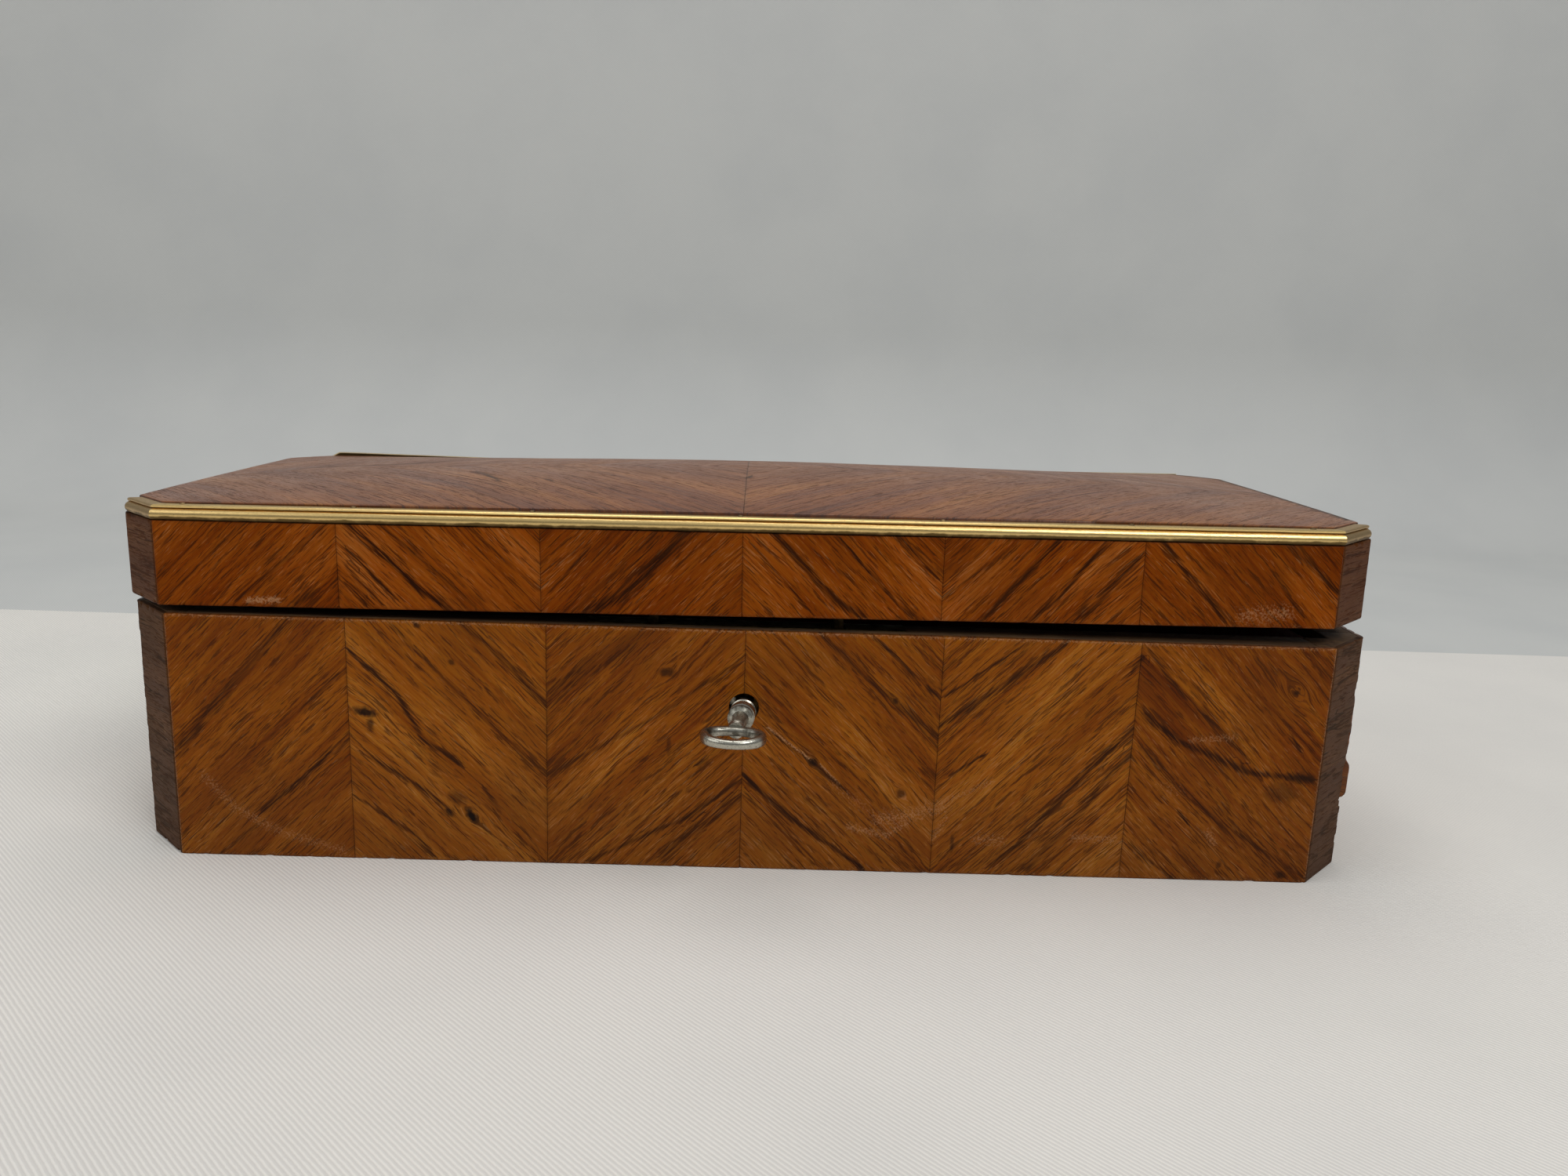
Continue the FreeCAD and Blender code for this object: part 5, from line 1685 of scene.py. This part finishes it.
@dataclass
class Mouldings:
    """Brass strips let in round the top: a bead below a flat band, mitred at the cants."""

    finishes: Finishes
    dent: float = 0.12
    step: float = 1.6
    inner_face: float = 3.1
    stop_length: float = 2.2
    stop_depth: float = 1.2
    stop_fall: float = 0.3
    free_rise: float = 1.3
    free_reach: float = 80.0
    tied_rise: float = 0.4
    tied_reach: float = 90.0
    sides: tuple = (Side.FRONT, Side.FRONT_RIGHT, Side.BACK_RIGHT, Side.BACK, Side.FRONT_LEFT)
    free_ends: dict = field(default_factory=lambda: {Side.FRONT_RIGHT: 1, Side.BACK_RIGHT: -1, Side.BACK: 1,
                                                     Side.FRONT_LEFT: -1})

    def section(self) -> Object:
        """The strip's cross-section as a closed curve: depth inward and height, both turned over.

        Returns:
            The curve's object.
        """
        bead = [(1.0 + 1.4 * math.cos(math.radians(a)), 1.38 + 1.38 * math.sin(math.radians(a)))
                for a in range(94, 271, 16)]
        wide, tall = PLAN.moulding_width, PLAN.moulding_height
        outline = [(wide, 0.0), (wide, tall - 0.15), (wide - 0.15, tall), (0.85, tall), (0.45, 3.5),
                   (0.24, 3.28), (0.28, 3.0), (0.5, 2.92), (0.7, 2.84), *bead]
        curve = bpy.data.curves.new("moulding_section", "CURVE")
        curve.dimensions = "3D"
        spline = curve.splines.new("POLY")
        spline.points.add(len(outline) - 1)
        for point, (depth, height) in zip(spline.points, outline):
            point.co = (-depth * MM, -height * MM, 0.0, 1.0)
        spline.use_cyclic_u = True
        return link("moulding_section", curve)

    def plan(self) -> NodePlan:
        """Tree that runs the section along a strip, shears its ends to the mitre and dents it.

        Returns:
            The finished tree.
        """
        plan = NodePlan("moulding_run")
        section = plan.named_input("Section", "Object")
        half = plan.named_input("Half length", "Float")
        count = plan.named_input("Steps", "Int")
        dent, seed = plan.named_input("Dent", "Float"), plan.named_input("Seed", "Float")
        start = plan.add("ShaderNodeCombineXYZ", X=plan.math("MULTIPLY", half, -1.0))
        end = plan.add("ShaderNodeCombineXYZ", X=half)
        line = plan.add("GeometryNodeCurvePrimitiveLine", Start=start[0], End=end[0])
        even = plan.add("GeometryNodeResampleCurve", Curve=line[0], Count=count)
        shape = plan.add("GeometryNodeObjectInfo", Object=section)
        strip = plan.add("GeometryNodeCurveToMesh", Curve=even[0], Profile_Curve=shape["Geometry"],
                         Fill_Caps=True)
        place = plan.add("GeometryNodeInputPosition")[0]
        parts = plan.add("ShaderNodeSeparateXYZ", Vector=place)
        shear = plan.math("MULTIPLY", plan.math("DIVIDE", parts[1], half), parts[0])
        move = plan.add("ShaderNodeCombineXYZ", X=plan.math("MULTIPLY", shear, -MITRE))
        mitred = plan.add("GeometryNodeSetPosition", Geometry=strip[0], Offset=move[0])
        waves = plan.add("ShaderNodeTexNoise", {"noise_dimensions": "4D"}, Vector=place, W=seed, Scale=160.0,
                         Detail=2.0)
        level = plan.math("SUBTRACT", waves["Color"], (0.5, 0.5, 0.5), kind="VectorMath")
        swing = plan.add("ShaderNodeVectorMath", {"operation": "SCALE"}, Vector=level, Scale=dent)
        plan.close(plan.add("GeometryNodeSetPosition", Geometry=mitred[0], Offset=swing[0])[0])
        return plan

    def build(self) -> None:
        """Makes the five strips that are left, each with its own dents."""
        section, plan = self.section(), self.plan()
        for index, side in enumerate(self.sides):
            first, last = PLAN.edge(side, 0.0)
            half = float(np.linalg.norm(last - first)) / 2.0
            label = "moulding_" + side.name.lower()
            finish = self.finishes.brass if half > 50 else self.finishes.corner_brass
            mesh = plan.apply(label + "_strip", bpy.data.meshes.new("seed"), {
                "Section": section, "Half length": half * MM, "Steps": max(30, int(2 * half / self.step)),
                "Dent": self.dent * MM, "Seed": float(index), "Finish": finish})
            place = Matrix.Translation((*(first + last) / 2.0, PLAN.lid_wall))
            place = place @ Matrix.Rotation(math.atan2(*(last - first)[::-1]), 4, "Z")
            # Stored share of bright brass: wear on the flat band, a painted highlight on the upper bead and
            # painted shade on the lower bead.
            keep(mesh, "rub", [self.worn(vert.co) for vert in mesh.vertices])
            for vert in mesh.vertices:
                self.stopped(vert.co, half, self.free_ends.get(side, 0))
                if side is Side.BACK:
                    vert.co.z += self.sprung(vert.co, half)
            # Painted shade: the strip's inner faces take the darker striker brass so that they look shadowed.
            mesh.materials.append(self.finishes.striker)
            for face in mesh.polygons:
                if face.center.y > self.inner_face * MM:
                    face.material_index = 1
            mesh.transform(Matrix.Scale(MM, 4) @ PLAN.lid_place() @ place @ Matrix.Scale(1.0 / MM, 4))
            face_out(mesh)
            settle(link_piece(label + "_strip", mesh, 40.0), "lid", "brass", None, label)
        bpy.data.objects.remove(section)

    def stopped(self, spot: Vector, half: float, end: int) -> None:
        """Draws a free end of a strip in and down, so that it ends in a rounded stop.

        Args:
            spot: place on the strip, which is moved.
            half: half the length of the strip.
            end: -1 or 1 for the end that is free, 0 for none.
        """
        gone = half - MITRE * spot.y / MM - end * spot.x / MM
        share = max(0.0, 1.0 - gone / self.stop_length) ** 2 * abs(end)
        spot.y += self.stop_depth * share * MM
        spot.z -= self.stop_fall * share * spot.z

    def sprung(self, spot: Vector, half: float) -> float:
        """How far the back strip has sprung up at a place on it, most at its free end."""
        free = max(0.0, 1.0 - (half - spot.x / MM) / self.free_reach)
        tied = max(0.0, 1.0 - (half + spot.x / MM) / self.tied_reach)
        return (self.free_rise * free + self.tied_rise * tied) * MM

    @staticmethod
    def worn(spot: Vector) -> float:
        """How bright the strip is: rubbed on the band, a painted highlight and painted shade on the bead.

        Args:
            spot: place in metres.

        Returns:
            Share from 0 to 1.
        """
        depth, height = spot.y / MM, spot.z / MM
        # Flat band: partly rubbed. Bead: bright above as a painted highlight, dull below as painted shade.
        if height > 2.95:
            return 0.5 if depth > 0.5 else 0.8
        return max(0.0, min(1.0, (height - 0.9) / 1.0))


@dataclass
class Fasteners:
    """Screws and nails: each shape is made once and repeated by a tree."""

    finishes: Finishes
    seat: HingeSeat = HingeSeat()

    @staticmethod
    def screw_head(radius: float, slot: float) -> Object:
        """A countersunk head with a filed slot, its top at the origin.

        Args:
            radius: radius of the head.
            slot: width of the slot.

        Returns:
            The part that the tree repeats.
        """
        profile = [(0.0, 0.1), (radius * 0.5, 0.08), (radius * 0.88, 0.0), (radius, -0.1),
                   (radius * 0.96, -0.3), (radius * 0.5, -0.9), (0.0, -0.9)]
        head = closed_mesh("screw_head", *lathe(profile, Matrix.Identity(4), 24))
        cutter = block_mesh("slot", (-3.0, -slot / 2, -0.45), (3.0, slot / 2, 1.0))
        return link_piece("screw_head", carve(head, [cutter]))

    @staticmethod
    def nail_head(radius: float) -> Object:
        """A small domed nail head."""
        profile = [(0.0, 0.35), (radius * 0.55, 0.27), (radius * 0.9, 0.08), (radius, -0.1),
                   (radius * 0.7, -0.3), (0.0, -0.3)]
        return link_piece("nail_head", closed_mesh("nail_head", *lathe(profile, Matrix.Identity(4), 16)))

    @staticmethod
    def on_lid(spots: list[Triple], way: Vector) -> list[tuple[Vector, Vector]]:
        """Places on the lid and the direction that they face, as the lid sits."""
        place = PLAN.lid_place()
        return [(place @ Vector(spot), place.to_3x3() @ way) for spot in spots]

    def build(self) -> None:
        """Sets the screws of the hinges, lock and striker, and the nails of the moulding."""
        screws, pins = repeat_plan("screw_set", 11, 1.5), repeat_plan("nail_set", 5, 3.0)
        head, small, nail = self.screw_head(1.9, 0.45), self.screw_head(1.5, 0.4), self.nail_head(0.75)
        up, down, back = Vector((0, 0, 1)), Vector((0, 0, -1)), Vector((0, 1, 0))
        lower, upper = [], []
        for side in (-1, 1):
            rim = PLAN.base_height + 2.0 + side * self.seat.inset * math.sin(math.radians(PLAN.lid_cock))
            for step, y in ((-10.5, 53.2), (0.0, 54.0), (10.5, 53.2)):
                lower.append((Vector((side * self.seat.inset + step, y, 60.02)), up))
                upper.append((Vector((side * self.seat.inset + step, y, rim - 0.02)), down))
        lock = [(Vector((x, -48.78, z)), back) for x in (-37.6, 33.0) for z in (32.0, 54.0)]
        striker = self.on_lid([(-1.2 + x, -52.6, -0.02) for x in (-29.0, 0.0, 29.0)], down)
        nails = self.on_lid([(x, -56.9, 23.4) for x in (-131.0, -92.0, -51.0, -3.0, 44.0, 88.0, 130.6)]
                            + [(x, 56.9, 23.4) for x in (-128.0, -60.0, 4.0, 66.0, 127.0)], up)
        iron, brass = self.finishes.iron, self.finishes.corner_brass
        for name, plan, part, places, body, slot, finish in (
                ("lower_hinge_screws", screws, head, lower, "base", "iron", iron),
                ("upper_hinge_screws", screws, head, upper, "lid", "iron", iron),
                ("lock_screws", screws, small, lock, "base", "iron", iron),
                ("striker_screws", screws, small, striker, "lid", "iron", iron),
                ("moulding_nails", pins, nail, nails, "lid", "brass", brass)):
            mesh = plan.apply(name, point_cloud(places), {"Part": part, "Finish": finish})
            settle(link_piece(name, mesh), body, slot, None)
        for part in (head, small, nail):
            bpy.data.objects.remove(part)


@dataclass
class Ironmongery:
    """Hinges, lock, bolt and striker: the model's own shapes with filed and rubbed edges."""

    finishes: Finishes
    boards: CaseBoards
    bevel: float = 0.14

    def build(self) -> None:
        """Softens and dresses every metal node."""
        brass, pale, iron = self.finishes.brass, self.finishes.lock_brass, self.finishes.iron
        parts = [("lock_plate", "base", "lock_brass", pale), ("lock_cap", "base", "lock_brass", pale),
                 ("lock_spring", "base", "iron", iron), ("lock_pin", "base", "iron", iron),
                 ("lock_bolt", "bolt", "lock_brass", pale),
                 # The striker plate takes the darker painted-shade brass.
                 ("striker_plate", "lid", "lock_brass", self.finishes.striker)]
        for side in ("left", "right"):
            parts += [(f"{side}_hinge_lower_leaf", "base", "brass", brass),
                      (f"{side}_hinge_upper_leaf", "lid", "brass", brass),
                      (f"{side}_hinge_pin", "base", "iron", iron)]
        self.boards.bevel = self.bevel
        for node, body, slot, finish in parts:
            settle(self.boards.softened(node), body, slot, finish, node)


@dataclass
class BarrelKey:
    """Nickelled barrel key: hollow shank, bulb collar with thin rings, neck, and an oval bow."""

    finishes: Finishes
    x: float = Keyhole.x
    z: float = Keyhole.z
    tip: float = -50.5
    foot: float = -61.2
    lean: float = 5.8
    shank: float = 2.3
    bore: float = 1.3
    bow_half: Pair = (7.4, 5.6)
    bow_centre: float = 18.85
    band: float = 1.05

    def head_place(self) -> Matrix:
        """Frame of the bent head: its Z axis runs out of the lock."""
        turn = Matrix.Rotation(math.radians(-self.lean), 4, "Z") @ Matrix.Rotation(math.radians(90), 4, "X")
        return Matrix.Translation((self.x, self.foot, self.z)) @ turn

    def bow(self) -> tuple[ndarray, list]:
        """The oval ring, flattened and a little thicker where it meets the neck.

        Returns:
            Points and faces.
        """
        place = self.head_place()
        points, turns, sides = [], 72, 16
        for step in range(turns):
            angle = 2 * math.pi * step / turns
            swell = 1.0 + 0.22 * max(0.0, -math.sin(angle)) ** 6
            half_band, half_tall = self.band * swell, 1.18 * (1.0 + 0.12 * math.cos(2 * angle))
            reach_x, reach_z = self.bow_half[0] - half_band, self.bow_half[1] - half_band
            centre = Vector((reach_x * math.cos(angle), 0.0, self.bow_centre + reach_z * math.sin(angle)))
            out = Vector((reach_z * math.cos(angle), 0.0, reach_x * math.sin(angle))).normalized()
            for turn in range(sides):
                way = 2 * math.pi * turn / sides
                wide = math.copysign(abs(math.cos(way)) ** 0.8, math.cos(way))
                tall = math.copysign(abs(math.sin(way)) ** 0.8, math.sin(way))
                points.append(place @ (centre + out * half_band * wide + Vector((0, half_tall * tall, 0))))
        return np.array(points), [face[::-1] for face in ring_faces(turns, sides)]

    def build(self) -> None:
        """Joins shank, head, bit and bow into one piece."""
        head = [(0.0, -0.8), (2.0, -0.8), (2.0, -0.15), (2.75, -0.1), (3.05, 0.15), (3.05, 0.6), (2.8, 0.8)]
        head += [(2.72 + 0.34 * math.sin(math.pi * share), 0.9 + 2.4 * share)
                 for share in (0.0, 0.15, 0.35, 0.55, 0.75, 0.9, 1.0)]
        for ring in (3.4, 5.0):
            head += [(2.76, ring), (3.08, ring + 0.12), (3.1, ring + 0.4), (3.08, ring + 0.68),
                     (2.76, ring + 0.8)]
        head += [(2.55, 6.0), (2.0, 6.3), (1.82, 7.2), (1.76, 9.0), (1.8, 11.0), (1.98, 12.8), (2.2, 13.6),
                 (1.9, 14.3), (0.0, 14.4)]
        reach = self.tip - self.foot
        shank = [(self.bore, 0.0), (self.shank - 0.15, 0.0), (self.shank, 0.15), (self.shank, reach),
                 (0.0, reach), (0.0, 9.0), (self.bore, 9.0)]
        along = Matrix.Translation((self.x, self.tip, self.z)) @ Matrix.Rotation(math.radians(90), 4, "X")
        bit = block_mesh("bit", (self.x - 5.5, -53.6, self.z - 1.0), (self.x - 1.7, -51.0, self.z + 1.0),
                         0.15)
        mesh = bpy.data.meshes.new("key_turned")
        joined = bmesh.new()
        for part in (lathe(shank, along), lathe(head, self.head_place()), self.bow()):
            joined.from_mesh(raw_mesh("part", *part))
        joined.from_mesh(bit)
        joined.to_mesh(mesh)
        joined.free()
        face_out(mesh)
        keep(mesh, "rub", [self.handled(vert.co) for vert in mesh.vertices])
        settle(link_piece("key_turned", mesh, 32.0), "key", "steel", self.finishes.steel, "key")

    def handled(self, spot: Vector) -> float:
        """How bright a place on the key is rubbed: the outside of the bow most, its inside least.

        Args:
            spot: place in metres.

        Returns:
            Share, over 1 where the metal is bare.
        """
        local = self.head_place().inverted() @ (spot / MM)
        if local.z < self.bow_centre - self.bow_half[1]:
            return 0.3
        reach = math.hypot(local.x / (self.bow_half[0] - self.band),
                           (local.z - self.bow_centre) / (self.bow_half[1] - self.band))
        return max(0.0, min(1.3, (reach - 0.9) * 5.0))


# Satin


@dataclass
class SatinLining:
    """Gathered satin walls and two buttoned pads."""

    finishes: Finishes
    inner_x: float = 139.8
    inner_y: float = 48.8
    gap: float = 0.3
    card: float = 1.4
    base_span: Pair = (7.3, 57.0)
    lid_span: Pair = (3.0, 14.5)
    puff: float = 2.2
    roll: float = 4.5
    swell: float = 22.0
    hollow: float = 5.2
    crease: float = 1.7
    lock_notch: tuple[Triple, Triple] = ((-40.6, -52.0, 27.7), (36.0, -40.0, 60.0))

    def wall(self, name: str, side: Side, span: Pair) -> tuple[ndarray, list]:
        """A thin wall of gathered satin.

        Args:
            name: name of the piece.
            side: which inner wall.
            span: lowest and highest edge.

        Returns:
            Points and faces, drawn upright inside the walls.
        """
        ways = {Side.FRONT: (0, 1), Side.BACK: (0, -1), Side.LEFT: (1, 0), Side.RIGHT: (-1, 0)}
        x_way, y_way = ways[side]
        long_side = side in (Side.FRONT, Side.BACK)
        reach = self.inner_x - self.gap if long_side else self.inner_y - 2 * self.gap - self.card
        u_line = stations(-reach, reach, 0.9, (0.4, 0.4))
        v_line = stations(*span, 1.6, (0.5, 0.5))
        u, v = crossed(u_line, v_line)
        rim = np.minimum(np.minimum(u + reach, reach - u), np.minimum(v - span[0], span[1] - v))
        seed = float(len(name))
        pleat = 0.34 * np.abs(drift(rows(u / 3.4, v / 60.0, 0.0), seed))
        pleat = pleat + 0.1 * drift(rows(u / 1.5, v / 14.0, 0.0), seed + 3.0)
        puff = np.sqrt(np.clip(rim / self.puff, 0.0, 1.0))
        deep = 0.25 + (self.card - 0.4) * puff * (0.62 + pleat)
        back = self.inner_y - self.gap if long_side else self.inner_x - self.gap
        grids = []
        for depth in (np.minimum(deep, self.card), np.zeros(len(u))):
            if long_side:
                grid = rows(-u * y_way, -y_way * (back - depth), v)
            else:
                grid = rows(-x_way * (back - depth), u * x_way, v)
            grids.append(grid.reshape(len(u_line), len(v_line), 3))
        return closed_slab(grids[0], grids[1], True, False)

    def pad(self, low: float, thick: float, crown: float, way: float, seed: float) -> tuple[ndarray, list]:
        """A buttoned pad with a crowned face.

        Args:
            low: height of its flat side.
            thick: thickness at its edge.
            crown: extra height in the middle.
            way: 1 where the crown is up, -1 where it is down.
            seed: picks another pattern of creases.

        Returns:
            Points and faces.
        """
        room = 3 * self.gap + self.card
        reach_x, reach_y = self.inner_x - room, self.inner_y - room
        x_line, y_line = (stations(-reach, reach, 1.5, (2.0, 2.0)) for reach in (reach_x, reach_y))
        x, y = crossed(x_line, y_line)
        rim = np.minimum(reach_x - np.abs(x), reach_y - np.abs(y))
        roll = np.sqrt(1.0 - round_off(rim, self.roll))
        high = thick * 0.35 + thick * 0.6 * roll + crown * smooth_band(rim, 0.0, self.swell)
        for button_x, button_y in self.buttons():
            high = high - (thick * 0.62 + crown) * bell(np.hypot(x - button_x, y - button_y), self.hollow)
        for line in self.creases():
            high = high - 0.3 * thick * bell(Marks.nearest(x, y, line), self.crease)
        flat = rows(x, y, 0.0)
        high = high + 0.22 * drift(flat / 9.0, seed) * roll + 0.1 * drift(flat / 3.0, seed + 2.0) * roll
        high = np.clip(high, 0.8, thick + crown)
        shape = (len(x_line), len(y_line), 3)
        face, back = rows(x, y, low + way * high).reshape(shape), rows(x * 0.99, y * 0.98, low).reshape(shape)
        return closed_slab(face[:, ::int(way)], back[:, ::int(way)], way > 0, True)

    def buttons(self) -> list[Pair]:
        """Places of the buttons, in staggered rows."""
        places = [(x, y) for x in (-104.0, -52.0, 0.0, 52.0, 104.0) for y in (-22.0, 22.0)]
        return places + [(x, 0.0) for x in (-78.0, -26.0, 26.0, 78.0)]

    def creases(self) -> list[tuple]:
        """Folds that run between neighbouring buttons, and from the outer ones to the edge.

        Returns:
            Two ends of each fold, as one row of numbers.
        """
        spots = self.buttons()
        lines = [(*first, *second) for first in spots for second in spots
                 if first < second and 20.0 < math.dist(first, second) < 40.0]
        return lines + [(x, y, x, math.copysign(46.0, y)) for x, y in spots if y]

    def build(self) -> None:
        """Makes the eight walls, the two pads and their buttons."""
        for body, span in (("base", self.base_span), ("lid", self.lid_span)):
            for side in (Side.FRONT, Side.BACK, Side.LEFT, Side.RIGHT):
                label = f"{body}_{side.name.lower()}"
                piece = self.fitted(label + "_satin", body, self.wall(label, side, span), 60.0)
                settle(piece, body, "satin", self.finishes.satin, label + "_lining")
        for name, body, sizes, node in (
                ("floor_cushion", "base", (7.3, 4.0, 2.0, 1.0, 2.0), "base_floor_pad"),
                ("lid_cushion", "lid", (14.5, 3.5, 2.0, -1.0, 6.0), "lid_pad")):
            piece = self.fitted(name, body, self.pad(*sizes), 70.0)
            settle(piece, body, "satin", self.finishes.satin, node)
        self.sew_buttons()

    def fitted(self, name: str, body: str, shape: tuple[ndarray, list], angle: float) -> Object:
        """Makes a piece from its shape, set in the lid or cut round the lock plate where it has to be.

        Args:
            name: name of the piece.
            body: body that it belongs to.
            shape: its points and faces.
            angle: edges sharper than this stay crisp.

        Returns:
            The piece.
        """
        points, faces = shape
        mesh = raw_mesh(name, moved(points, PLAN.lid_place()) if body == "lid" else points, faces)
        if name == "base_front_satin":
            mesh = carve(mesh, [block_mesh("lock_notch", *self.lock_notch)])
        face_out(mesh)
        return link_piece(name, mesh, angle)

    def sew_buttons(self) -> None:
        """Sets covered buttons in the hollows of both pads."""
        profile = [(0.0, 1.0), (1.2, 0.85), (2.0, 0.35), (2.1, 0.0), (1.6, -0.3), (0.0, -0.3)]
        part = link_piece("button", closed_mesh("button", *lathe(profile, Matrix.Identity(4), 16)))
        plan = repeat_plan("button_set", 3, 3.0)
        floor = [(Vector((x, y, 9.0)), Vector((0, 0, 1))) for x, y in self.buttons()]
        ceiling = Fasteners.on_lid([(x, y, 13.0) for x, y in self.buttons()], Vector((0, 0, -1)))
        for name, body, places in (("floor_buttons", "base", floor), ("lid_buttons", "lid", ceiling)):
            mesh = plan.apply(name, point_cloud(places), {"Part": part, "Finish": self.finishes.satin})
            settle(link_piece(name, mesh, 60.0), body, "satin", None)
        bpy.data.objects.remove(part)


# Studio


@dataclass
class Studio:
    """Table cloth, ground behind it, soft lights and the camera."""

    focal: float = 1519.07
    width: float = 2000.0
    yaw: float = -0.0198
    pitch: float = 0.2155
    roll: float = 0.0352
    eye: Triple = (0.895, -329.09, 129.67)
    cloth_half: float = 1500.0
    cloth_back: float = 172.0
    ground_half: float = 6000.0
    ground_low: float = -1.5

    def build(self) -> None:
        """Makes the stage, the lights and the camera."""
        self.ground()
        self.lights()
        self.camera()

    def ground(self) -> None:
        """Lays the cloth, which ends behind the box, on a wide pale ground that sweeps up at the back."""
        half, wide, low = self.cloth_half, self.ground_half, self.ground_low
        corners = [(-half, -half, 0), (half, -half, 0), (half, self.cloth_back, 0),
                   (-half, self.cloth_back, 0)]
        cloth = raw_mesh("table_cloth", corners, [(0, 1, 2, 3)])
        turns = [math.radians(step * 7.5) for step in range(13)]
        sweep = [(430.0 + 130.0 * math.sin(turn), low + 130.0 - 130.0 * math.cos(turn)) for turn in turns]
        line = [(-wide, low), (self.cloth_back - 2.0, low), *sweep, (560.0, 3200.0)]
        points = [(x, y, z) for x in (-wide, wide) for y, z in line]
        count = len(line)
        faces = [(i, i + count, i + count + 1, i + 1) for i in range(count - 1)]
        ground = raw_mesh("backdrop", points, faces)
        ground.shade_smooth()
        for mesh, finish in ((cloth, TableCloth("table_cloth", (238, 234, 227), (224, 221, 216))),
                             (ground, TableCloth("backdrop", (208, 209, 206), (196, 198, 197), 0.1))):
            sheet = link(mesh.name, mesh)
            mesh.materials.append(finish.material())

    def lights(self) -> None:
        """Sets a pale sky and three soft lights."""
        scene = bpy.context.scene
        scene.world = bpy.data.worlds.new("studio")
        scene.world.use_nodes = True
        tree = scene.world.node_tree
        way, parts, fade = (tree.nodes.new("ShaderNode" + kind)
                            for kind in ("TexCoord", "SeparateXYZ", "ValToRGB"))
        for element, (place, colour) in zip(fade.color_ramp.elements, ((0.02, (0.10, 0.10, 0.11, 1.0)),
                                                                       (0.75, (0.78, 0.80, 0.82, 1.0)))):
            element.position, element.color = place, colour
        sky = tree.nodes["Background"]
        for socket, value in ((parts.inputs[0], way.outputs["Generated"]), (fade.inputs[0], parts.outputs[2]),
                              (sky.inputs[0], fade.outputs[0]), (sky.inputs[1], 0.5)):
            feed(socket, value)
        aim = Vector((0.0, 0.0, 0.03))
        for name, place, size, power in (("key", (0.55, -0.75, 1.05), 0.7, 6.5),
                                         ("fill", (-0.9, -0.5, 0.7), 0.9, 2.6),
                                         ("top", (-0.1, 0.2, 1.25), 0.9, 4.2)):
            lamp = bpy.data.lights.new(name, "AREA")
            lamp.shape, lamp.size, lamp.energy = "DISK", size, power
            item = link(name, lamp)
            item.location = place
            item.rotation_euler = (aim - Vector(place)).to_track_quat("-Z", "Y").to_euler()
        scene.view_settings.view_transform = "Standard"

    def camera(self) -> None:
        """Puts the camera where the box is seen as in the photograph."""
        turn = Matrix.Rotation(self.yaw, 3, "Z") @ Matrix.Rotation(-self.pitch, 3, "X")
        right, ahead, up = turn.col[0], turn.col[1], turn.col[2]
        side = math.cos(self.roll) * right + math.sin(self.roll) * up
        above = math.cos(self.roll) * up - math.sin(self.roll) * right
        lens = bpy.data.cameras.new("camera")
        lens.sensor_width = 36.0
        lens.lens = self.focal / self.width * lens.sensor_width
        lens.clip_start, lens.clip_end = 0.01, 50.0
        pose = Matrix((side, above, -ahead)).transposed().to_4x4()
        pose.translation = Vector(self.eye) * MM
        item = link("camera", lens)
        item.matrix_world = pose
        bpy.context.scene.camera = item


def main() -> None:
    """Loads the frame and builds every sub-assembly."""
    logging.basicConfig(level=logging.INFO, format="%(name)s: %(message)s")
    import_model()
    Studio().build()
    finishes = Finishes()
    boards = CaseBoards(finishes)
    boards.build()
    BaseVeneers(finishes).build()
    LidVeneers(finishes).build()
    Mouldings(finishes).build()
    Ironmongery(finishes, boards).build()
    Fasteners(finishes).build()
    BarrelKey(finishes).build()
    SatinLining(finishes).build()


if __name__ == "__main__":
    main()
